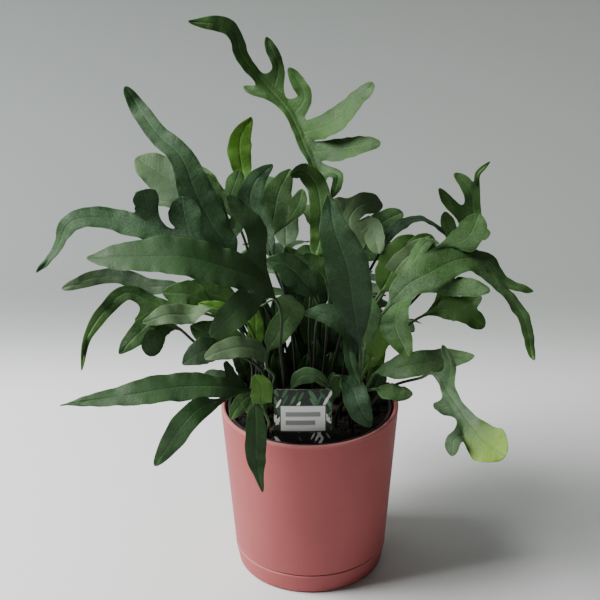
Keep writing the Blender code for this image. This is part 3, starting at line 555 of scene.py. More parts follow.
# %% Crumbly surface
SOIL_RINGS = 44
SOIL_SPOKES = 150
CRUMB_HEIGHT = 1.6 * MM
LUMP_SIZE = 6.0 * MM
CRUMB_SIZE = 1.8 * MM
LUMP_SHARE = 0.62
SOIL_WALL_GAP = 0.3 * MM
SOIL_FOOT_SHARE = 0.8
SOIL_DARK = (0.003, 0.0026, 0.0022, 1)
SOIL_BROWN = (0.006, 0.005, 0.0035, 1)
SOIL_PALE = (0.014, 0.010, 0.007, 1)

crumbs, tree, shader = new_material("potting_mix", Roughness=0.92, Specular_IOR_Level=0.25)
coarse = grainy(tree, 2.2, 0.75)
colour = mix_colour(tree, patchy(tree, 12.0, 2.0), SOIL_DARK, SOIL_BROWN)
colour = tinted(tree, colour, SOIL_PALE, coarse["Mask"], 0.25)
dress(tree, shader, colour, relief=coarse["Height"], depth=0.6 * MM)

soil_radius = liner_high.x - LINER_BAND_WIDTH - LINER_WALL - SOIL_WALL_GAP


def crumb(x, y):
    """The height of the loose surface above the soil line."""
    lumps = noise.noise(Vector((x, y, 0.0)) / LUMP_SIZE)
    grains = noise.noise(Vector((x, y, 0.01)) / CRUMB_SIZE)
    return CRUMB_HEIGHT * (LUMP_SHARE * lumps + (1 - LUMP_SHARE) * grains)


verts = [(0.0, 0.0, SOIL_TOP + crumb(0.0, 0.0))]
for ring in range(1, SOIL_RINGS + 1):
    for spoke in range(SOIL_SPOKES):
        angle = math.tau * (spoke + 0.5 * (ring % 2)) / SOIL_SPOKES
        x = soil_radius * ring / SOIL_RINGS * math.cos(angle)
        y = soil_radius * ring / SOIL_RINGS * math.sin(angle)
        verts.append((x, y, SOIL_TOP + crumb(x, y)))
soil_foot = SOIL_FOOT_SHARE * soil_high.x
for spoke in range(SOIL_SPOKES):
    angle = math.tau * spoke / SOIL_SPOKES
    verts.append((soil_foot * math.cos(angle), soil_foot * math.sin(angle), soil_low.z))
verts.append((0.0, 0.0, soil_low.z))
faces = [(0, 1 + k, 1 + (k + 1) % SOIL_SPOKES) for k in range(SOIL_SPOKES)]
for ring in range(SOIL_RINGS):
    low = 1 + ring * SOIL_SPOKES
    for k in range(SOIL_SPOKES):
        near = (k + 1) % SOIL_SPOKES
        faces.append((low + k, low + near, low + near + SOIL_SPOKES, low + k + SOIL_SPOKES))
rim = 1 + SOIL_RINGS * SOIL_SPOKES
faces += [(rim + k, rim + (k + 1) % SOIL_SPOKES, len(verts) - 1) for k in range(SOIL_SPOKES)]
finished(mesh_from("potting_mix_crumbly", verts, faces), crumbs, ["potting_mix"], sharp=180)
print("soil:", len(faces), "faces")

# %% Bark chips and splinters
CHIPS = 420
CHIP_SEED = 11
CHIP_HALVES_MM = ((1.0, 3.6), (0.6, 1.5), (0.3, 0.8))
CHIP_SHAKE = 0.12 * MM
CHIP_TIP = 0.35
CHIP_LIFT = 0.3 * MM
CHIP_WALL_GAP = 4.0 * MM
BARK_DARK = (0.004, 0.003, 0.0022, 1)
BARK_BROWN = (0.012, 0.0085, 0.0055, 1)
BARK_PALE = (0.026, 0.019, 0.013, 1)

bark, tree, shader = new_material("bark_chips", Roughness=0.85, Specular_IOR_Level=0.3)
fine = grainy(tree, 0.7, 0.8)
colour = mix_colour(tree, patchy(tree, 5.0, 3.0), BARK_DARK, BARK_BROWN)
colour = tinted(tree, colour, BARK_PALE, fine["Mask"], 0.3)
dress(tree, shader, colour, relief=fine["Height"], depth=0.2 * MM)

BOX_CORNERS = np.array([(x, y, z) for x in (-1, 1) for y in (-1, 1) for z in (-1, 1)], float)
BOX_FACES = ((0, 1, 3, 2), (4, 6, 7, 5), (0, 4, 5, 1), (2, 3, 7, 6), (0, 2, 6, 4), (1, 5, 7, 3))
chance = np.random.default_rng(CHIP_SEED)
verts = []
faces = []
for _ in range(CHIPS):
    radius = (soil_radius - CHIP_WALL_GAP) * math.sqrt(chance.random())
    angle = math.tau * chance.random()
    x = radius * math.cos(angle)
    y = radius * math.sin(angle)
    half = np.array([chance.uniform(*limits) for limits in CHIP_HALVES_MM]) * MM
    corners = BOX_CORNERS * half * chance.uniform(0.6, 1.0, (8, 1)) + chance.normal(0, CHIP_SHAKE, (8, 3))
    tip_up = Matrix.Rotation(chance.uniform(-CHIP_TIP, CHIP_TIP), 3, "Y")
    spin = Matrix.Rotation(math.tau * chance.random(), 3, "Z")
    turned_corners = corners @ np.array(spin @ tip_up).T
    start = len(verts)
    verts += [tuple(p) for p in turned_corners + (x, y, SOIL_TOP + crumb(x, y) + CHIP_LIFT)]
    faces += [tuple(start + k for k in face) for face in BOX_FACES]
finished(mesh_from("bark_chips", verts, faces), bark, sharp=30)
print("chips:", CHIPS)


# %% [markdown]
# ## Curves that carry a direction
# Rhizomes, stalks and blades all follow a smooth curve through a few points. A blade also has to
# know which way its upper side looks at every point. A `Ribbon` is such a curve. It starts from
# one facing direction in the middle and carries it both ways without twisting, as a strip of
# paper would bend. The curve itself is a cubic Hermite spline whose slopes are weighted by the
# gaps between the points, so that a short gap doesn't overshoot.

# %% Smooth curves and ribbons
def unit(v):
    return v / np.maximum(np.linalg.norm(v, axis=-1, keepdims=True), 1e-9)


def smooth_curve(points, samples):
    """Points along a smooth curve through the given ones, with samples points in each stretch."""
    p = np.array(points, float)
    gaps = np.linalg.norm(np.diff(p, axis=0), axis=1)
    slopes = np.diff(p, axis=0) / gaps[:, None]
    inner = slopes[:-1] * gaps[1:, None] + slopes[1:] * gaps[:-1, None]
    inner = inner / (gaps[:-1] + gaps[1:])[:, None]
    speed = np.vstack([slopes[:1], inner, slopes[-1:]])
    u = np.linspace(0, 1, samples, endpoint=False)[:, None]
    stretches = []
    for k, gap in enumerate(gaps):
        start = (2 * u**3 - 3 * u**2 + 1) * p[k] + (u**3 - 2 * u**2 + u) * gap * speed[k]
        end = (3 * u**2 - 2 * u**3) * p[k + 1] + (u**3 - u**2) * gap * speed[k + 1]
        stretches.append(start + end)
    return np.vstack(stretches + [p[-1:]])


class Ribbon:
    """A curve with a facing direction along it, carried from one place without twisting."""

    def __init__(self, line, facing, share):
        self.line = line
        gaps = np.linalg.norm(np.diff(line, axis=0), axis=1)
        self.along = np.concatenate([[0.0], np.cumsum(gaps)])
        self.length = self.along[-1]
        self.forward = unit(np.gradient(line, axis=0))
        self.up = np.zeros_like(line)
        middle = int(np.searchsorted(self.along, share * self.length))
        middle = min(max(middle, 0), len(line) - 1)
        turn = np.array(facing, float)
        for k in list(range(middle, len(line))) + list(range(middle - 1, -1, -1)):
            if k == middle - 1:
                turn = self.up[middle]
            turn = unit(turn - turn.dot(self.forward[k]) * self.forward[k])
            self.up[k] = turn

    def at(self, distances):
        """The points, forward, up and right-hand directions at distances along the curve."""
        def read(values):
            return np.stack([np.interp(distances, self.along, values[:, k]) for k in range(3)], -1)

        forward = unit(read(self.forward))
        up = unit(read(self.up))
        return read(self.line), forward, up, unit(np.cross(forward, up))


print("ribbons ready")

# %% [markdown]
# ## Creeping rhizomes
# This fern spreads by furry stems that creep over the soil, and its fronds rise from them. The
# stem is a lumpy tube. Its fur is made of hundreds of narrow brown scales that stand off it
# and lean forward, each a thin three-sided spike, because fur drawn by a bump map would have a
# smooth outline.

# %% Rhizomes
Rhizome = namedtuple("Rhizome", "name points")
RHIZOMES = (
    Rhizome("rhizome_left", ((-0.9, -0.1), (-2.4, 0.3), (-4.0, -0.3), (-5.4, 0.1))),
    Rhizome("rhizome_front", ((-0.4, -1.3), (-1.2, -2.5), (-2.2, -3.4), (-3.4, -4.2))),
    Rhizome("rhizome_right", ((1.0, 0.2), (2.4, -0.5), (3.8, -0.3), (5.3, -0.9))),
    Rhizome("rhizome_back", ((-0.2, 1.2), (-0.9, 2.4), (-0.5, 3.8), (-1.2, 5.2))),
)
RHIZOME_RADIUS = 4.0 * MM
RHIZOME_LIFT = 0.3 * MM
RHIZOME_SIDES = 18
RHIZOME_CORE = 0.88
END_WIDTH = 0.55
END_SHARE = 0.08
LUMPINESS = 0.12
LUMP_LENGTH = 4.0 * MM
SCALES_PER_MM = 12
SCALE_LENGTH = 2.6 * MM
SCALE_WIDTH = 0.22 * MM
SCALE_ROOT = 0.84
SCALE_OVERHANG = 0.35
FUR_SEED = 20
FUR_DARK = (0.018, 0.010, 0.006, 1)
FUR_BROWN = (0.070, 0.040, 0.020, 1)
FUR_PALE = (0.110, 0.070, 0.036, 1)

fur, tree, shader = new_material("rhizome_fur", Roughness=0.7)
fine = grainy(tree, 0.5, 0.7)
colour = mix_colour(tree, patchy(tree, 2.5, 3.0), FUR_DARK, FUR_BROWN)
colour = tinted(tree, colour, FUR_PALE, fine["Mask"], 0.5)
dress(tree, shader, colour, relief=fine["Height"], depth=0.25 * MM)


def rhizome_line(rhizome, samples):
    line = smooth_curve([(*p, 0) for p in rhizome.points], samples) * STEP
    line[:, 2] = SOIL_TOP + RHIZOME_LIFT + RHIZOME_RADIUS
    return line


def rhizome_piece(rhizome, draw):
    """The lumpy tube and the scales on it, in one mesh."""
    line = rhizome_line(rhizome, 14)
    ribbon = Ribbon(line, (0, 0, 1), 0.0)
    right = unit(np.cross(ribbon.forward, ribbon.up))
    share = ribbon.along / ribbon.length
    taper = END_WIDTH + (1 - END_WIDTH) * np.minimum(np.minimum(share, 1 - share) / END_SHARE, 1.0)
    angles = math.tau * np.arange(RHIZOME_SIDES) / RHIZOME_SIDES
    verts = []
    faces = []
    for k, point in enumerate(line):
        for angle in angles:
            out = math.cos(angle) * right[k] + math.sin(angle) * ribbon.up[k]
            lump = 1 + LUMPINESS * noise.noise(Vector(point + out * RHIZOME_RADIUS) / LUMP_LENGTH)
            verts.append(point + out * RHIZOME_RADIUS * RHIZOME_CORE * taper[k] * lump)
    sides = RHIZOME_SIDES
    for k in range(len(line) - 1):
        for number in range(sides):
            a = k * sides + number
            b = k * sides + (number + 1) % sides
            faces.append((a, b, b + sides, a + sides))
    faces.append(tuple(range(sides)))
    faces.append(tuple((len(line) - 1) * sides + number for number in range(sides)))
    for number in range(int(ribbon.length / MM * SCALES_PER_MM)):
        k = draw.integers(1, len(line) - 1)
        angle = draw.uniform(-SCALE_OVERHANG, math.pi + SCALE_OVERHANG)
        out = math.cos(angle) * right[k] + math.sin(angle) * ribbon.up[k]
        side = unit(np.cross(ribbon.forward[k], out))
        root = line[k] + out * RHIZOME_RADIUS * SCALE_ROOT * taper[k]
        root = root + ribbon.forward[k] * draw.normal(0, 1 * MM)
        lean = unit(0.55 * out + 0.8 * ribbon.forward[k] + 0.5 * draw.normal(0, 1) * side)
        tip = root + lean * SCALE_LENGTH * draw.uniform(0.5, 1.0)
        start = len(verts)
        verts += [root - side * SCALE_WIDTH, root + side * SCALE_WIDTH, root + out * SCALE_WIDTH * 1.4, tip]
        faces += [(start, start + 1, start + 3), (start + 1, start + 2, start + 3),
                  (start + 2, start, start + 3), (start, start + 2, start + 1)]
    return mesh_from(rhizome.name + "_furry", verts, faces)


for number, rhizome in enumerate(RHIZOMES):
    mesh = rhizome_piece(rhizome, np.random.default_rng(FUR_SEED + number))
    finished(mesh, fur, [rhizome.name])
    print(mesh.name, len(mesh.polygons), "faces")


# %% [markdown]
# ## The plant label
# A grower's label is a printed plastic card with a pointed stake. This one is bowed a little,
# as such cards are, and its print is only shapes: foliage, a pale panel with two plain bars,
# and a dark band at its foot. The print is drawn by masks on two coordinates that the mesh
# carries in an attribute: across the card from -1 to 1, and up it from 0 to 1.

# %% Label card
LABEL_WIDTH = 49.0 * MM
LABEL_OFFSET = -0.6
LABEL_REACH = 6.46
BESIDE_LABEL = LABEL_OFFSET - LABEL_WIDTH / 2 / STEP
PAST_LABEL = LABEL_OFFSET + LABEL_WIDTH / 2 / STEP
LABEL_FRONT = -math.sqrt(LABEL_REACH**2 - BESIDE_LABEL**2)
BEHIND_LABEL = LABEL_FRONT + 0.7
LABEL_HEIGHT = 50.0 * MM
LABEL_THICKNESS = 0.7 * MM
LABEL_CORNER = 3.0 * MM
LABEL_LEAN = math.radians(4.0)
LABEL_BOW = 0.9 * MM
STAKE_WIDTH = 12.0 * MM
STAKE_DEPTH = 30.0 * MM
STAKE_TIP = 0.2 * MM
CARD_LIFT = 0.6 * MM
CARD_COLUMNS = 24
CARD_ROWS = 16
STRAIGHT_SHARE = 0.94


def card_half_width(z):
    """Half the card's width at a height above the soil line, or half its stake's below it."""
    if z < 0:
        return min(STAKE_WIDTH / 2, (z + STAKE_DEPTH) / 2 + STAKE_TIP)
    into = max(z - (LABEL_HEIGHT - LABEL_CORNER), 0.0)
    return LABEL_WIDTH / 2 - LABEL_CORNER + math.sqrt(max(LABEL_CORNER**2 - into**2, 0.0))


def label_mesh():
    """The bowed card with its stake, leaning back, with the print's coordinates at every point."""
    heights = [-STAKE_DEPTH, -STAKE_DEPTH + 4 * MM, -STAKE_DEPTH + STAKE_WIDTH, -0.01 * MM]
    heights += [LABEL_HEIGHT * STRAIGHT_SHARE * k / CARD_ROWS for k in range(CARD_ROWS + 1)]
    heights += [LABEL_HEIGHT - LABEL_CORNER * (1 - math.sin(math.radians(a))) for a in range(15, 91, 15)]
    verts = []
    prints = []
    for side in (-1, 1):
        for z in heights:
            half = card_half_width(z)
            for k in range(CARD_COLUMNS + 1):
                across = 2 * k / CARD_COLUMNS - 1
                x = across * half
                bow = LABEL_BOW * (x / (LABEL_WIDTH / 2)) ** 2
                verts.append((x, side * LABEL_THICKNESS / 2 + bow, z))
                prints.append((x / (LABEL_WIDTH / 2), max(z, 0) / LABEL_HEIGHT, side))
    wide = CARD_COLUMNS + 1
    count = len(heights) * wide
    faces = []
    for row in range(len(heights) - 1):
        for k in range(CARD_COLUMNS):
            a = row * wide + k
            faces.append((a, a + 1, a + 1 + wide, a + wide))
            faces.append((count + a, count + a + wide, count + a + 1 + wide, count + a + 1))
    outline = [row * wide for row in range(len(heights))]
    outline += [(len(heights) - 1) * wide + k for k in range(1, wide)]
    outline += [row * wide + wide - 1 for row in range(len(heights) - 2, -1, -1)]
    outline += list(range(wide - 2, 0, -1))
    for a, b in zip(outline, outline[1:] + outline[:1]):
        faces.append((a, b, b + count, a + count))
    mesh = mesh_from("plant_label_printed", verts, faces)
    stored = mesh.attributes.new("print", "FLOAT_VECTOR", "POINT")
    stored.data.foreach_set("vector", np.array(prints, np.float32).ravel())
    lean = Matrix.Rotation(-LABEL_LEAN, 4, "X")
    stand = Matrix.Translation((LABEL_OFFSET * STEP, LABEL_FRONT * STEP, SOIL_TOP + CARD_LIFT))
    mesh.transform(stand @ lean)
    return mesh


label_data = label_mesh()
print("label:", len(label_data.polygons), "faces")

# %% [markdown]
# `window` is a mask that is 1 between two limits, and products of windows make rectangles.
# The foliage is two layers of Voronoi cells, stretched into slim leaves and turned two ways. A
# leaf is the part of a cell near its centre, and each cell's random colour picks its green.

# %% Label print
def window(tree, value, low, high, soft=0.01):
    """1 where the value is between two limits, with soft sides."""
    rise = steps_between(tree, value, low - soft, low + soft)
    drop = steps_between(tree, value, high - soft, high + soft)
    return times(tree, rise, minus(tree, 1.0, drop))


def rectangle(tree, across, up, left, right, low, high):
    return times(tree, window(tree, across, left, right), window(tree, up, low, high))


# Sides of the rectangles in the print, across it from -1 to 1 and up it from 0 to 1
PANEL_FRAME = (-0.80, 0.80, 0.22, 0.71)
PANEL = (-0.765, 0.765, 0.235, 0.695)
FIRST_BAR = (-0.60, 0.60, 0.50, 0.585)
SECOND_BAR = (-0.60, 0.42, 0.345, 0.43)
PRINT_DARK = (0.006, 0.014, 0.007, 1)
PRINT_FOOT = (0.005, 0.007, 0.006, 1)
PRINT_FRAME = (0.03, 0.045, 0.03, 1)
PRINT_PANEL = (0.93, 0.95, 0.92, 1)
PRINT_BARS = (0.09, 0.10, 0.09, 1)
PRINT_GREENS = ((0.020, 0.085, 0.030, 1), (0.110, 0.260, 0.110, 1))
PRINT_WHITE = (0.80, 0.84, 0.78, 1)
PRINT_FOOT_WHITE = (0.82, 0.84, 0.80, 1)
CARD_BACK = (0.62, 0.63, 0.60, 1)
CARD_WHITE = (0.9, 0.9, 0.9, 1)

printed, tree, shader = new_material("printed_card", Roughness=0.45, Specular_IOR_Level=0.22)
stored = put(tree, "Attribute", attribute_name="print").outputs["Vector"]
across, up, side = split(tree, stored)
art = PRINT_DARK
foot_art = PRINT_FOOT
for turn_degrees, scale in ((35.0, 0.75), (-40.0, 1.0)):
    spun = put(tree, "Mapping", stored, None, (0.0, 0.0, math.radians(turn_degrees)))
    stretched = put(tree, "Mapping", spun.outputs[0], None, None, (2.6 * scale, 9.0 * scale, 0.0))
    cells = put(tree, "TexVoronoi", stretched.outputs[0], None, 1.0)
    pick = put(tree, "SeparateColor", cells.outputs["Color"]).outputs
    leaf = steps_between(tree, cells.outputs["Distance"], 0.34, 0.42, 1.0, 0.0)
    green = mix_colour(tree, pick[0], *PRINT_GREENS)
    green = mix_colour(tree, steps_between(tree, pick[1], 0.66, 0.70), green, PRINT_WHITE)
    art = mix_colour(tree, leaf, art, green)
    white_leaf = times(tree, leaf, steps_between(tree, pick[2], 0.62, 0.68))
    foot_art = mix_colour(tree, white_leaf, foot_art, PRINT_FOOT_WHITE)
art = mix_colour(tree, window(tree, up, -0.1, 0.2), art, foot_art)
art = mix_colour(tree, rectangle(tree, across, up, *PANEL_FRAME), art, PRINT_FRAME)
art = mix_colour(tree, rectangle(tree, across, up, *PANEL), art, PRINT_PANEL)
both_bars = [rectangle(tree, across, up, *sides) for sides in (FIRST_BAR, SECOND_BAR)]
art = tinted(tree, art, PRINT_BARS, calc(tree, "MAXIMUM", *both_bars), 0.75)
front = steps_between(tree, side, 0.2, -0.2)
paper = grainy(tree, 0.4, 0.5)
colour = mix_colour(tree, front, CARD_BACK, art)
colour = tinted(tree, colour, CARD_WHITE, paper["Mask"], 0.06)
dress(tree, shader, colour, relief=paper["Height"], depth=0.02 * MM)
label = finished(label_data, printed, ["plant_label"])
print("label stands at", [round(v, 3) for v in label.data.vertices[0].co])


# %% [markdown]
# ## The fronds
# A blue star fern has leathery, blue-green fronds. Some are plain straps, most are cut into a
# few long lobes like the fingers of a hand, and no two are alike. Each frond is described by
# where its stalk leaves the ground, the points that its stalk and blade pass through, its
# width, a shape, and its lobes. That is little enough to be listed, and the same few
# numbers made the CAD solids, so that each fine frond lies exactly where its CAD solid lies.
# Places are in steps from the centre of the rim: x to the right, y to the back, z up.

# %% Directions and width shapes
# Directions that a blade's upper side looks in
VIEWER = (0.0, -0.9, 0.43)
FRONT_UP = (0.0, -0.6, 0.8)
UP = (0.0, -0.1, 1.0)

# Relative widths at equal distances from a blade's foot to its tip
STRAP = (0.25, 0.8, 1.0, 1.0, 0.95, 0.85, 0.7)
LANCE = (0.2, 0.65, 0.95, 1.0, 0.9, 0.7, 0.4)
POINTED = (0.3, 0.75, 0.95, 1.0, 0.8, 0.5, 0.15)
OVAL = (0.3, 0.9, 1.0, 1.0, 0.95, 0.8, 0.6)
TAIL = (0.35, 0.9, 1.0, 0.8, 0.6, 0.6, 0.55)
DROOP = (0.4, 0.9, 1.0, 1.0, 0.85, 0.5, 0.3)
WINGED = (0.3, 0.6, 0.62, 0.7, 0.9, 1.0, 0.6)
SPOON = (0.2, 0.24, 0.3, 0.42, 0.75, 1.0, 0.8)
RIGHT = (0.3, 0.8, 1.0, 0.9, 0.6, 0.5, 0.3)
LOBE = (1.0, 0.95, 1.0, 1.0, 0.95, 0.8, 0.55)
print("width shapes ready")

# %% [markdown]
# The table of fronds. A lobe is the share of the blade at which it stands, the points to its
# tip, and its width. The colour is one of six finishes: a fresh green, the slate green of an
# older blade, a deep green that is painted shade for a blade low inside the plant, a bright
# yellow-green that is painted light shining through a blade, the pale grey-green of a blade with
# more bloom and a painted highlight, or a young blade whose tip is bright. A row that says no
# more than its shape faces the viewer, is green and has no lobes.

# %% Fronds
Frond = namedtuple("Frond", "name base stalk blade width shape face leaf lobes",
                   defaults=(VIEWER, "green", ()))

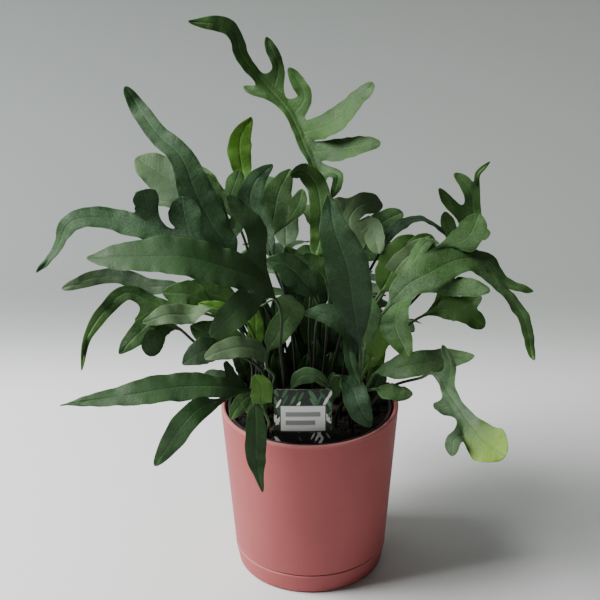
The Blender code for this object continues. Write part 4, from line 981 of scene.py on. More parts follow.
# base is where the stalk leaves the ground (x, y), stalk and blade are the points that they pass
# through, and a lobe is (share of the blade at its foot, points to its tip, width).
FRONDS = (
    Frond("crown", (0.8, 1.2), ((2, 1.5, 9), (2, 2.5, 13.5)),
          ((1, 4, 19), (0, 5.5, 21), (-2, 8, 24.5), (-4, 9, 26.5), (-5.5, 9, 28.5), (-6.5, 9, 31),
           (-10, 8, 32)),
          1.5, WINGED, FRONT_UP, "green",
          ((0.04, ((2.5, 3, 20), (2, 3, 18)), 1),
           (0.11, ((3, 4, 22), (6, 3, 23)), 2.2),
           (0.22, ((2, 5, 24), (5.5, 5, 27.5)), 2.5),
           (0.3, ((-0.3, 8, 25), (-1.6, 9, 27.6)), 1.3),
           (0.5, ((-2.5, 9.5, 27), (-3.5, 10, 30)), 1.1),
           (0.5, ((-5.5, 9, 26),), 0.9))),
    Frond("high_left", (-2.2, 0.6), ((-3, 0.5, 7),),
          ((-6, 1, 13), (-8, 1.5, 16), (-9.5, 2, 19), (-10.5, 3, 21.5), (-13, 5, 23.5),
           (-14.5, 7, 25), (-15.5, 7.5, 26.5)),
          3, TAIL, FRONT_UP, "slate"),
    Frond("back_pale", (-2.6, 2.4), ((-5.5, 4, 9),),
          ((-8.5, 6, 14.5), (-10.5, 7, 17), (-13, 8, 18.5), (-15, 9, 19.5)),
          3.8, OVAL, FRONT_UP, "pale",
          ((0.45, ((-15, 7, 17),), 1),)),
    Frond("left_fingers", (-3.2, -0.4), ((-4.5, -1.5, 8.5), (-6.5, -2, 14)),
          ((-9, -2, 16), (-11.5, -2, 16.5), (-14.5, -1.5, 17.5), (-17, -1, 18), (-19.5, -1.5, 18),
           (-21, -2, 15.5), (-22.5, -3, 14)),
          2.1, DROOP, FRONT_UP, "slate",
          ((0.06, ((-10.5, 0, 19.5),), 2.7),
           (0.3, ((-13.5, -2, 21),), 2.2))),
    Frond("front_dark", (-2, -3.2), ((-2.4, -6, 8),),
          ((-2.7, -7.5, 13.5), (-4.2, -8, 15.5), (-6.5, -9, 17), (-10, -10, 18.5), (-14, -10, 18.5),
           (-17.5, -9, 18)),
          3.6, LANCE, FRONT_UP, "slate",
          ((0.14, ((-4.2, -7, 19), (-6.5, -6, 22)), 2.4),
           (0.1, ((-5.3, -11, 14.7), (-7.8, -12, 12.5)), 2.4))),
    Frond("front_centre", (2.2, -2.8), ((4, -5, 4.5),),
          ((4, -7.5, 9.5), (3.5, -8, 13), (3, -8, 16.5), (2, -7.5, 19.5), (1.5, -6, 22)),
          3.4, LANCE, VIEWER, "slate",
          ((0.05, ((4, -10, 7),), 1),)),
    Frond("arching_strap", (0.4, 0.2), ((0, -0.5, 8),),
          ((0.5, 0, 13.5), (1, 1.5, 15.5), (1, 2, 17.5), (0.5, 3, 19.5), (-0.5, 3, 20.5),
           (-1.5, 2, 20.5)),
          1.9, STRAP),
    Frond("leaning", (-1, 1.2), ((-2, 2, 9),),
          ((-3.5, 4.5, 13.5), (-3, 5, 15.5), (-2.5, 6, 17.5), (-1.5, 6, 19.5)),
          2.6, LANCE, VIEWER, "green",
          ((0.35, ((-0.5, 5, 18),), 1.5),)),
    Frond("pale_arch", (-1.2, -0.3), ((-1.5, 0, 7),),
          ((-3, 1.5, 13.5), (-4, 3, 15.5), (-5, 4, 17.5), (-4.5, 4.5, 19), (-3, 4.5, 20.5)),
          2.3, LANCE, VIEWER, "slate"),
    Frond("bright_back", (-1.6, 2.8), ((-3, 5, 7.5), (-5, 9, 13.5)),
          ((-5.5, 12, 15.5), (-6, 13, 17.5), (-6, 13.5, 19.5), (-5, 13.5, 21.5)),
          2.1, LANCE, VIEWER, "bright"),
    Frond("back_fingers", (-2.4, 3.4), ((-4.5, 6.5, 8),),
          ((-7, 10, 14), (-8, 10.5, 15), (-9, 11, 16.5), (-10, 12, 17.5)),
          1.7, STRAP, VIEWER, "green",
          ((0.2, ((-6, 11, 17.5),), 1.6),
           (0.5, ((-10, 11, 15.5),), 1.6))),
    Frond("right_of_centre", (1.6, 0.4), ((3, 0, 8),),
          ((4, 1.5, 12.5), (4, 3, 14), (3.5, 4.5, 15.5), (4.5, 5, 16.5), (6.5, 6, 16)),
          2.1, WINGED, VIEWER, "pale",
          ((0.15, ((2.5, 4, 14),), 1.6),
           (0.55, ((2, 5, 17),), 1.7),
           (0.35, ((5, 4, 15), (6, 1.5, 13.5)), 1.9))),
    Frond("dark_upright", (2.8, 0), ((4, -0.5, 7.5),),
          ((6, 0, 10.5), (7, 1, 12), (8, 2, 13.5), (9, 3, 14.5)),
          3, LANCE),
    Frond("thin_arch", (2.4, 1.8), ((4, 2, 9),),
          ((6, 3.5, 12.5), (7, 4.5, 14), (8.5, 6, 14.5), (10, 6.5, 14.5), (12, 6.5, 13)),
          1.3, STRAP, UP, "slate"),
    Frond("right_main", (3.4, -1.2), ((4, -2, 6),),
          ((6.5, -3, 10.5), (8, -2, 12), (10, -1.5, 13), (12.5, 0, 13.5), (15, 1, 13),
           (16.5, 0, 11.5), (19, 0, 10.5)),
          3, RIGHT, FRONT_UP, "green",
          ((0.06, ((7, -7, 10.5), (8, -9, 9)), 2.3),
           (0.26, ((10.5, 1.5, 15),), 1.2),
           (0.42, ((13.5, 1.5, 15), (14.5, 3, 16.5)), 2.6),
           (0.32, ((12, -2, 12), (15, -3, 12)), 1.9),
           (0.6, ((17.5, -2, 10), (18.5, -6, 7)), 1.3))),
    Frond("right_low_back", (4, 1.6), ((8, 3.5, 5),),
          ((11.3, 7, 5.3), (13, 7, 5.6), (14.4, 6.5, 5.1), (15.7, 6, 4.2)),
          2.4, OVAL, FRONT_UP, "green",
          ((0.2, ((13.1, 8, 8),), 1.9),
           (0.62, ((15.4, 7, 6.4),), 1.4))),
    Frond("right_twisted", (3.2, 2.6), ((7.5, 4.5, 5.5), (11.5, 8, 8.5)),
          ((13, 9, 10), (14.3, 9.3, 12), (14.7, 10, 14), (14.2, 10.5, 16), (13, 11, 17)),
          1.5, STRAP, VIEWER, "green",
          ((0.15, ((12.1, 9.5, 14),), 1.3),
           (0.5, ((11.6, 10, 16),), 1),
           (0.3, ((15.9, 8.5, 11.7),), 1.2),
           (0.7, ((15, 10.5, 17), (16.1, 10.5, 18.3)), 0.5))),
    Frond("right_low_dark", (4.5, -1.9), ((5, -4, 4),),
          ((5.5, -5, 5.5), (7.5, -6, 6.5), (10, -6, 7), (13.5, -7, 8)),
          2.4, LANCE, FRONT_UP, "green"),
    Frond("right_small", (3.6, -4), (),
          ((5.5, -6, 4.5), (6.5, -6.5, 4.5), (8.5, -7, 4.5)),
          1.6, LANCE, FRONT_UP, "green"),
    Frond("right_hanging", (4.9, -2.9), ((6.5, -5, 4), (9, -7, 6)),
          ((10.3, -10.2, 7.8), (11, -11, 6.9), (11.7, -12.5, 6.4), (12.6, -14, 5.6), (13.6, -15.5, 4.9),
           (15.1, -17, 4.4)),
          3.4, SPOON, VIEWER, "young",
          ((0.05, ((10.5, -10.5, 10.9),), 0.9),
           (0.28, ((9.7, -12.8, 6.5),), 1.6),
           (0.6, ((11.1, -16, 5.2), (11, -16.6, 4.2)), 1.3))),
    Frond("left_low_long", (-4, -3.4), ((BESIDE_LABEL - 0.95, -6.5, 4.5),),
          ((-5.5, -8, 5.5), (-7.5, -10, 7), (-10.5, -11, 7.5), (-13.5, -12, 7.5), (-17, -12, 7),
           (-20, -12, 6.5)),
          2.5, POINTED, FRONT_UP, "slate",
          ((0.14, ((-9, -13, 6.5), (-12.5, -14, 2)), 1.9),
           (0.08, ((-7, -7.5, 8),), 1.9))),
    Frond("rim_hanging", (-4.4, -4.2), ((-4.5, -6.5, 3.5),),
          ((-4.5, -8, 4.5), (-4.5, -9, 2.5), (-4.5, -9.5, 0), (-4, -10, -3)),
          1.7, DROOP, VIEWER, "slate"),
    Frond("small_bright", (BESIDE_LABEL - 0.55, -5.1), ((-3.5, -7.5, 2.5),),
          ((-4, -8.5, 4.5), (-4, -9, 6.5), (-4.5, -9, 7.5)),
          1.8, OVAL, VIEWER, "bright"),
    Frond("grey_arch", (-4.4, -2.2), ((-3, -4.5, 5),),
          ((-3.5, -6, 6.5), (-4, -7, 8.5), (-5.5, -8, 9.5), (-7, -8.5, 9.5), (-8.5, -9, 9)),
          2, STRAP, FRONT_UP, "pale"),
    Frond("behind_label", (-0.4, BEHIND_LABEL + 0.8), (),
          ((-1.5, BEHIND_LABEL, 4), (-1, BEHIND_LABEL, 5), (0.5, BEHIND_LABEL - 0.5, 5.5),
           (1.5, BEHIND_LABEL - 0.5, 4.5)),
          1.3, LANCE, VIEWER, "slate"),
    Frond("front_lance", (PAST_LABEL - 0.25, -4.4), (),
          ((PAST_LABEL + 0.65, -5.5, 5.5), (3.5, -6, 4.5), (4, -7, 3.5), (5, -7, 1.5)),
          2.2, LANCE, VIEWER, "slate"),
    Frond("left_pale_strap", (-4.8, 0.6), ((-5.5, -0.5, 8),),
          ((-10.5, -1.5, 12), (-13.5, -1.5, 12), (-16, -1.5, 13), (-18, -2, 13), (-20.5, -3, 12.5)),
          1.4, STRAP, VIEWER, "pale"),
    Frond("left_drooping", (-5, -1), ((-5, -3, 8),),
          ((-9, -4.5, 11), (-12, -4.5, 11.5), (-15, -5, 13), (-16.5, -7, 12.5), (-18, -8, 10.5),
           (-18.5, -9, 8)),
          1.4, DROOP, VIEWER, "green",
          ((0.25, ((-14, -7, 11),), 1.3),)),
    Frond("left_grey", (-4.3, -1.9), ((-5, -4.5, 8),),
          ((-8, -6, 12), (-10, -6, 11.5), (-11.5, -7, 12), (-13.5, -7.5, 11.5)),
          2, LANCE, FRONT_UP, "pale"),
    Frond("left_forked", (-5.4, -1.9), ((-5.5, -3.5, 6.5), (-8.5, -4.5, 7.5)),
          ((-11.5, -6.5, 11), (-12.5, -7, 11.5), (-14, -7.5, 10.5), (-15.5, -8, 9)),
          1.7, LANCE, VIEWER, "green",
          ((0.12, ((-12.5, -8, 10.5), (-13, -8.5, 9)), 2.1),)),
    Frond("left_dark", (-4.7, -2.7), ((-4, -4.5, 5.5),),
          ((-6.5, -6, 8), (-8.5, -6.5, 8.5), (-10.5, -7, 7.5)),
          2.3, LANCE, FRONT_UP, "slate"),
    Frond("slate_arch", (0.2, -1.6), ((0.5, -2.5, 8),),
          ((0.5, -4, 12), (-0.5, -4, 13.5), (-2, -4, 15), (-3.5, -4, 15.5)),
          2.4, LANCE, VIEWER, "slate"),
    Frond("middle_green", (1, -0.6), ((1.5, -1.5, 8.5),),
          ((1.5, -1.5, 12), (0.5, -1.5, 13.5), (-1, -1.5, 14), (-2, -1.5, 15.5)),
          2.2, LANCE),
    Frond("folded_pale", (-1.6, -2.2), (),
          ((-3.5, -4, 7), (-2.5, -4, 9), (-1.5, -4, 11), (-2.5, -5, 12.5), (-4, -5.5, 12)),
          2.1, STRAP),
    Frond("bright_upright", (-2.9, -1.4), (),
          ((-4.5, -3.5, 7), (-4.5, -3.5, 8.5), (-4.5, -3.5, 10), (-4.5, -3.5, 11)),
          1.4, LANCE, VIEWER, "bright"),
    Frond("low_arch", (2.6, -1.6), ((4.5, -3, 4.5),),
          ((4, -4, 7.5), (3, -5, 10), (1.5, -5, 11), (-0.5, -5, 11)),
          2.1, LANCE, FRONT_UP, "slate"),
    Frond("right_inner", (3.4, -3), (),
          ((4.5, -6, 8), (4.5, -6, 10), (5, -6, 11.5), (5, -6, 13)),
          2.1, LANCE),
    Frond("small_centre", (0.6, -2.9), (),
          ((2, -4, 2.5), (2, -4, 3.5), (2, -4, 5)),
          1.2, OVAL),
    Frond("back_left_tall", (-3.4, 1.8), ((-6, 2.5, 7),),
          ((-7.5, 5, 11), (-8, 7, 13), (-8.5, 8, 15.5), (-9, 9, 18)),
          2.5, STRAP, VIEWER, "green",
          ((0.3, ((-6, 7.5, 15),), 1.5),
           (0.45, ((-10, 9, 16),), 1.7))),
    Frond("middle_tall", (-0.2, 2.2), ((-2, 4, 9),),
          ((-2, 6, 12), (-2, 7.5, 13.5), (-2.5, 8, 16), (-4, 9, 17.5)),
          2.4, STRAP, VIEWER, "pale"),
    Frond("right_back_tall", (2.2, 3.2), ((4, 4.5, 8.5),),
          ((4.5, 7, 10), (5.5, 8, 12), (7, 10, 13), (8.5, 10.5, 13.5)),
          2.4, STRAP, VIEWER, "green",
          ((0.3, ((8, 8, 10.5),), 1.8),)),
)
print("fronds:", len(FRONDS))

# %% [markdown]
# The fronds at the back are alike enough to be written as arches: a compass direction, a reach,
# a height and a droop. One function turns an arch into a frond with four lobes.

# %% Arching fronds at the back
Arch = namedtuple("Arch", "name azimuth root reach height droop width leaf")

# The fronds at the back, each an arch of its own reach and height. The points that the arch passes
# through are shares of its reach, height and droop
ARCH_STALK = ((0.12, 0.6, 0),)
ARCH_BLADE = ((0.3, 0.95, 0), (0.55, 1, 0), (0.8, 1, 0.4), (1, 1, 1))
# Its lobes stand in turn on both sides, at these shares of the blade. Their tips lie in a row along
# the arch, and reach less far out to the side towards its end
ARCH_LOBES = (0.16, 0.3, 0.44, 0.58)
ARCH_LOBE_WIDTH = 0.75
ARCH_LOBE_HEIGHT = 0.97
ARCH_LOBE_FIRST = 0.36
ARCH_LOBE_SPREAD = 0.7
ARCH_LOBE_REACH = 4.4
ARCH_LOBE_FADE = 0.6
ARCHES = (
    Arch("back_low_1", 50, 5.6, 14.5, 4.5, 3.0, 2.4, "green"),
    Arch("back_low_2", 72, 5.6, 17.0, 5.0, 4.5, 2.6, "green"),
    Arch("back_low_3", 95, 5.2, 18.0, 7.0, 5.0, 2.5, "pale"),
    Arch("back_low_4", 120, 5.5, 17.0, 5.5, 4.5, 2.6, "green"),
    Arch("back_low_5", 146, 5.4, 15.5, 6.5, 4.0, 2.4, "green"),
    Arch("back_high_1", 68, 3.8, 14.0, 8.0, 1.5, 2.5, "pale"),
    Arch("back_high_2", 86, 4.0, 15.5, 14.0, 2.5, 2.6, "green"),
    Arch("back_high_3", 105, 3.9, 15.0, 10.5, 2.0, 2.5, "green"),
)


def arching_frond(arch):
    """A frond that rises from the soil, arches outwards and droops, with lobes in turn on both sides."""
    angle = math.radians(arch.azimuth)
    out = np.array([math.cos(angle), math.sin(angle), 0.0])
    across = np.array([-out[1], out[0], 0.0])

    def place(reach, height, droop):
        distance = arch.root + (arch.reach - arch.root) * reach
        return out * distance + (0, 0, arch.height * height - arch.droop * droop)

    stalk = tuple(place(*shares) for shares in ARCH_STALK)
    blade = tuple(place(*shares) for shares in ARCH_BLADE)
    lobes = []
    for number, share in enumerate(ARCH_LOBES):
        side = 1 if number % 2 else -1
        sideways = ARCH_LOBE_REACH * (1 - ARCH_LOBE_FADE * share)
        tip = place(ARCH_LOBE_FIRST + ARCH_LOBE_SPREAD * share, ARCH_LOBE_HEIGHT, 0)
        lobes.append((share, (tuple(tip + across * side * sideways),), arch.width * ARCH_LOBE_WIDTH))
    return Frond(arch.name, tuple(out[:2] * arch.root), stalk, blade, arch.width, WINGED,
                 tuple(out * 0.3 + (0, 0, 1)), arch.leaf, tuple(lobes))


CAD_FRONDS = [*FRONDS, *map(arching_frond, ARCHES)]
print("fronds in the CAD model:", len(CAD_FRONDS))

# %% [markdown]
# A real plant also has a crowd of short fronds between the stalks, and a few small ones low on
# its sides. They are too many and too small for the CAD model, so they are added here. An inner
# frond is upright and plain: where it stands, how far its tip leans to the side, the heights of
# its blade's foot and tip, and its width. Its finish is deep, a green darkened as painted shade,
# unless the row names another.

# %% Small fronds between the stalks
# The default finish, deep, is painted shade for these fronds low inside the plant
Inner = namedtuple("Inner", "x y lean foot tip width leaf", defaults=("deep",))
INNER_FRONDS = (
    Inner(-3.6, 4.2, -0.5, -0.1, 2.8, 1.8),
    Inner(-2.1, 4.7, -0.2, -0.1, 2.6, 1.7, "slate"),
    Inner(-0.5, 4.8, 0.1, -0.1, 2.9, 1.8),
    Inner(1.1, 4.8, 0.1, -0.1, 2.7, 1.8, "slate"),
    Inner(2.5, 4.4, 0.3, -0.1, 2.9, 1.8),
    Inner(3.9, 3.3, 0.6, -0.1, 2.9, 1.8),
    Inner(5.6, 0.9, 1.1, 0.0, 3.2, 1.6, "slate"),
    Inner(5.9, -0.5, 1.0, 0.0, 2.2, 1.4),
    Inner(-1.1, 2.7, -0.4, 7.2, 13.2, 2.0, "slate"),
    Inner(0.8, 2.5, 0.2, 7.4, 13.4, 2.0),
    Inner(2.5, 2.2, 0.4, 7.0, 12.6, 1.8, "slate"),
    Inner(-1.5, 3.6, 0.1, 4.6, 10.6, 1.4, "slate"),
    Inner(-2.5, 0.9, -0.5, 0.4, 4.6, 1.6),
    Inner(-1.4, 1.3, -0.1, 0.8, 5.4, 1.7),
    Inner(-0.4, 0.7, 0.2, 0.3, 4.4, 1.5),
    Inner(0.5, 1.2, 0.1, 0.9, 5.6, 1.7),
    Inner(1.4, 0.6, 0.4, 0.2, 4.6, 1.6),
    Inner(2.3, 1.0, 0.5, 0.6, 5.2, 1.6),
    Inner(-5.5, 2.5, -1.2, 0.5, 3.9, 1.5),
    Inner(-4.4, 3.9, -0.8, 0.6, 5.0, 1.7),
    Inner(-3.0, 4.8, -0.4, 0.8, 5.8, 1.6),
    Inner(-1.2, 5.5, 0.3, 0.2, 3.4, 1.5),
    Inner(0.4, 5.4, 0.2, 0.8, 6.2, 1.7),
    Inner(1.8, 5.2, 0.4, 0.4, 5.2, 1.6, "bright"),
    Inner(3.1, 4.7, 0.6, 0.6, 5.8, 1.7),
    Inner(4.4, 3.9, 0.9, 0.5, 5.0, 1.6),
    Inner(5.4, 2.6, 1.2, 0.3, 4.0, 1.5),
    Inner(-4.0, 2.9, -0.5, 2.0, 7.8, 1.8),
    Inner(-2.7, 3.2, -0.4, 2.6, 8.4, 1.5),
    Inner(-0.3, 3.4, 0.3, 2.4, 8.6, 1.6),
    Inner(1.0, 3.3, 0.3, 2.0, 7.8, 1.8),
    Inner(2.6, 3.0, 0.5, 2.4, 8.4, 1.8),
    Inner(4.0, 2.5, 0.8, 1.8, 7.2, 1.7),
    Inner(5.3, 1.2, 1.4, 1.2, 5.8, 1.5, "bright"),
    Inner(0.1, 1.6, 0.2, 4.5, 10.4, 1.9),
    Inner(1.8, 1.3, 0.5, 4.2, 10.0, 1.7),
    Inner(3.3, 1.0, 0.9, 4.0, 9.6, 1.8),
    Inner(-3.5, 1.1, -0.6, 3.8, 9.8, 1.7),
    Inner(4.6, 0.6, 1.3, 2.6, 7.6, 1.6),
)
INNER_BEND = ((0, 0, 0), (0.1, -0.3, 0.38), (0.45, -0.4, 0.72), (1, -0.1, 1))


def inner_frond(number, inner):
    """A short upright frond. Its blade passes through points given as shares of its lean and height."""
    rise = inner.tip - inner.foot
    blade = tuple((inner.x + inner.lean * lean, inner.y + back, inner.foot + rise * up)
                  for lean, back, up in INNER_BEND)
    return Frond(f"inner_{number:02d}", (inner.x, inner.y), (), blade, inner.width, LANCE, VIEWER,
                 inner.leaf, ())


SIDE_FRONDS = (
    Frond("side_slate", (-4.9, 0.2), ((-5.2, -1, 7),),
          ((-8.2, -3, 11), (-10, -3, 11.9), (-12.2, -3, 12.1)), 2.2, LANCE),
    Frond("side_inner", (-3.9, 0.6), ((-4.4, -0.5, 7),),
          ((-5.8, -2, 10.4), (-8.4, -2, 11.6), (-10.8, -2, 12.2)), 2.3, LANCE),
    Frond("side_light", (-3.6, -1.6), ((-4.4, -3.6, 7.5),),
          ((-5.8, -5, 10.9), (-7.6, -5, 11.6), (-9.1, -5, 12)), 1.2, LANCE, VIEWER, "bright"),
    Frond("side_broad", (-4.6, -0.6), ((-4.6, -1.6, 5),),
          ((-5.2, -3, 7), (-7.6, -3, 7.9), (-10, -3, 9)), 2.6, LANCE),
    Frond("side_low", (-5.7, 0.9), (),
          ((-6.8, 0.4, 1.9), (-7.9, 0, 2.6), (-9.2, 0, 2.8)), 1.3, OVAL, VIEWER, "pale"),
    Frond("side_rim", (-4.9, -3.4), ((-4.7, -4.6, 2.6),),
          ((-4.9, -6, 4), (-5.7, -7, 3.9), (-6.6, -7.6, 2.6)), 1.3, LANCE),
    Frond("side_foot", (-2.9, -4.1), (),
          ((-3.2, -4.8, 2.6), (-4.3, -5.2, 2.9), (-5.4, -5.3, 2)), 1.6, LANCE),
    Frond("far_slate", (3, 1), ((4.6, 1, 7),),
          ((6.5, 1, 10.3), (7.7, 1, 12.7), (9.2, 1, 14.1), (11, 1, 14.6)), 1.8, STRAP, VIEWER, "pale"),
    Frond("far_small", (3.8, 0.8), ((6, 1.4, 9),),
          ((8.4, 2, 12.9), (9.9, 2, 14.3), (11, 2, 13.4)), 1.7, LANCE),
    Frond("near_bright", (3.9, -2.2), ((4.4, -3.2, 4),),
          ((5.1, -4, 6.4), (5.4, -4.2, 8.4), (5.1, -4, 10.8)), 2.4, OVAL, VIEWER, "bright"),
    Frond("near_low", (4.2, -0.8), (),
          ((4.4, -1, 3.4), (5.4, -1, 4.9), (6.4, -1, 5.5)), 1.4, LANCE),
    Frond("near_dark", (4.9, -0.5), ((5.4, -0.3, 4),),
          ((6, 0, 5.6), (6.6, 0, 6.8), (7.3, 0, 8)), 1.8, OVAL),
)
SMALL_FRONDS = [*(inner_frond(*pair) for pair in enumerate(INNER_FRONDS, 1)), *SIDE_FRONDS]
print("small fronds:", len(SMALL_FRONDS))

# %% [markdown]
# ## From a table row to a leaf
# A leaf is first a sheet with no thickness. Its rows of points run across the blade, and each
# row is placed on the frond's ribbon. Along the stalk the same rows are wrapped into a round
# rod, and they open out into a flat blade over the first tenth of its length. `Sheet` collects
# the points, the thickness above and below each one, and the faces between rows. Every corner
# of a face also remembers how far it is from its own midrib and how far along it, because the
# material draws its veins from that. Corners are used and not points, because where a lobe
# leaves the blade, one point belongs to two midribs.

# %% Sheets of points
STEM_RADIUS = 0.12
LEAF_HALF = 0.032
RIB_BULGE = 0.06
RIB_GROOVE = 0.018
KEEL = 0.12
KEEL_ROUND = 0.5
TIP_ROUNDING = 10
FINE = 4
ROW_LENGTH = 0.95
LEAST_ROWS = 7
CURVE_SAMPLES = 12
STEM_SOCKET = 0.6
STALK_ROW = 0.7
BLADE_FOOT = 0.1
COLUMNS = np.array([-1, -0.94, -0.8, -0.58, -0.32, -0.09, 0, 0.09, 0.32, 0.58, 0.8, 0.94, 1])


class Sheet:
    """A leaf's middle surface: its points, the thickness over and under them, and its faces."""

    def __init__(self):
        self.points = []
        self.over = []
        self.under = []
        self.blade = []
        self.faces = []
        self.marks = []

    def row(self, points, over, under, blade):
        """Adds a row of points and gives their numbers. blade is 0 on the stalk and 1 on the blade."""
        first = len(self.points)
        self.points += list(points)
        self.over += list(over)
        self.under += list(under)
        self.blade += [blade] * len(points)
        return list(range(first, len(self.points)))

    def join(self, low, high, low_marks, high_marks, flip=1):
        """Puts faces between two rows. A mark is (distance from the midrib, distance along it)."""
        for k in range(len(low) - 1):
            self.faces.append((low[k], low[k + 1], high[k + 1], high[k])[::flip])
            self.marks.append((low_marks[k], low_marks[k + 1], high_marks[k + 1], high_marks[k])[::flip])


def ease(value):
    """A smooth rise from 0 to 1."""
    value = np.clip(value, 0.0, 1.0)
    return value * value * (3 - 2 * value)


def width_at(shape, share):
    """A blade's relative width at a share of its length, rounded off at the tip."""
    outline = smooth_curve([(k / (len(shape) - 1), width) for k, width in enumerate(shape)], 8)
    body = np.interp(share, outline[:, 0], outline[:, 1])
    return body * math.sqrt(max(1.0 - share**TIP_ROUNDING, 0.0))


def rounded_edge(across):
    """The relative thickness across a blade, from -1 to 1: even, and rounded off at the margins."""
    return np.sqrt(np.maximum(1 - np.abs(across) ** 6, 0.0))


def keel(lateral):
    """How far a blade rises on either side of its midrib, as a shallow rounded trough."""
    return KEEL * (np.hypot(lateral, KEEL_ROUND) - KEEL_ROUND)


print("columns across a blade:", len(COLUMNS))

# %% [markdown]
# No leaf margin is a clean curve. `uneven` gives a slow wander of a few per cent for each side
# of a blade, from a few sine waves with random starts. The tip gets extra rows, because a round
# tip needs them and the rest of the blade doesn't.

# %% Blade
UNEVEN = 0.07
TIP_SHARES = (0.35, 0.62, 0.82, 0.94)
STALK_SINKS = 0.6 * MM
LEAST_HALF_WIDTH = 0.02
RIB_REACH = 0.07
MAIN_RIB_BULGE = 0.018
STEM_IN_RIB = 0.5
STEM_THINS = 0.75
STEM_ENDS = 0.9
WAVES = (1.3, 2.9, 5.3)
WAVE_FADE = 1.4


def uneven(draw):
    """A wander about zero along a blade, as a function of the share of its length."""
    starts = draw.uniform(0, math.tau, len(WAVES))
    return lambda share: sum(math.sin(math.tau * w * share + s) / (k + WAVE_FADE)
                             for k, (w, s) in enumerate(zip(WAVES, starts)))


def uneven_sides(wander, share, across):
    """The width factors of the points across a blade, at a share of its length."""
    return np.array([1 + UNEVEN * wander[int(s) or 1](share) for s in np.sign(across)])


def ground(x, y):
    """The height of the soil, or of the rhizome lying on it, under a stalk's foot."""
    height = SOIL_TOP
    for rhizome in RHIZOMES:
        line = rhizome_line(rhizome, 8)
        near = np.hypot(line[:, 0] - x, line[:, 1] - y).min()
        if near < RHIZOME_RADIUS:
            rise = math.sqrt(RHIZOME_RADIUS**2 - near**2)
            height = max(height, SOIL_TOP + RHIZOME_LIFT + RHIZOME_RADIUS + rise - STALK_SINKS)
    return height


def blade_sheet(frond, sheet, draw):
    """Adds the stalk and the blade to a sheet. Gives what the lobes need to grow from it."""
    foot = np.array([*frond.base, (ground(frond.base[0] * STEP, frond.base[1] * STEP) - POT_TOP) / STEP])
    path = [foot, foot + (0, 0, STEM_SOCKET), *map(np.array, frond.stalk), *map(np.array, frond.blade)]
    line = smooth_curve(path, CURVE_SAMPLES)
    gaps = np.linalg.norm(np.diff(line, axis=0), axis=1)
    stalk = gaps[: CURVE_SAMPLES * (len(path) - len(frond.blade))].sum()
    length = gaps.sum() - stalk
    ribbon = Ribbon(line, frond.face, (stalk + 0.5 * length) / (stalk + length))
    rows = max(LEAST_ROWS, round(length / ROW_LENGTH))
    shares = [k / (rows * FINE) for k in range(rows * FINE)]
    shares += [1 - (1 - t) / (rows * FINE) for t in TIP_SHARES] + [1.0]
    stalk_rows = max(3, round(stalk / STALK_ROW))
    distances = [stalk * k / stalk_rows for k in range(stalk_rows)]
    distances += [stalk + length * share for share in shares]
    wander = {-1: uneven(draw), 1: uneven(draw)}
    grid = []
    marks = []
    for distance in distances:
        share = max((distance - stalk) / length, 0.0)
        opened = ease(share / BLADE_FOOT)
        point, _, up, right = ribbon.at(distance)
        half = frond.width / 2 * width_at(frond.shape, share)
        sides = uneven_sides(wander, share, COLUMNS)
        stem = STEM_RADIUS * (1 - STEM_THINS * ease(share / STEM_ENDS)) if share < 1 else 0.0
        lateral = COLUMNS * np.maximum(half * sides, LEAST_HALF_WIDTH)
        rod = stem * np.sin(COLUMNS * math.pi / 2)
        round_half = stem * np.cos(COLUMNS * math.pi / 2)
        flat_half = LEAF_HALF * rounded_edge(COLUMNS) * (share < 1)
        near_rib = np.exp(-(lateral / RIB_REACH) ** 2) * (share < 1)
        over = round_half * (1 - opened) + (flat_half - RIB_GROOVE * near_rib) * opened
        bulge = (MAIN_RIB_BULGE + STEM_IN_RIB * stem) * near_rib
        under = round_half * (1 - opened) + (flat_half + bulge) * opened
        across = rod * (1 - opened) + lateral * opened
        points = point + np.outer(across, right) + np.outer(keel(lateral) * opened, up)
        grid.append(sheet.row(points, over, under, opened))
        marks.append([(a, distance - stalk) for a in across])
    for k in range(len(grid) - 1):
        sheet.join(grid[k], grid[k + 1], marks[k], marks[k + 1])
    return ribbon, stalk, length, rows, [grid[stalk_rows + k] for k in range(rows * FINE + 1)]


print("blade builder ready")

# %% [markdown]
# A lobe grows out of the blade's margin. Its first row is a stretch of margin points. The next
# rows keep that stretch's shape at first and then swing round to stand square to the lobe's own
# midrib, so that the lobe flares into the blade with a rounded bay on either side and no seam.

# %% Lobes
LOBE_FLARE = 0.45
LOBE_BOW = 0.12
LOBE_LEAN = 0.5
LOBE_ROW_LENGTH = 0.26
LOBE_CROWDING = 1.4
LEAST_LOBE_ROWS = 8
LOBE_RIB_REACH = 0.2
LOBE_RIB_FADE = 0.7
LOBE_GROOVE = 0.5


def lobe_route(start, points, side, forward, right):
    """The points that a lobe's midrib follows. One with a single point gets a slight bow."""
    route = [start, *map(np.array, points)]
    if len(points) == 1:
        reach = np.linalg.norm(route[1] - start)
        out = unit(side * right + LOBE_LEAN * forward)
        route.insert(1, (start + route[1]) / 2 + LOBE_BOW * reach * out)
    return route


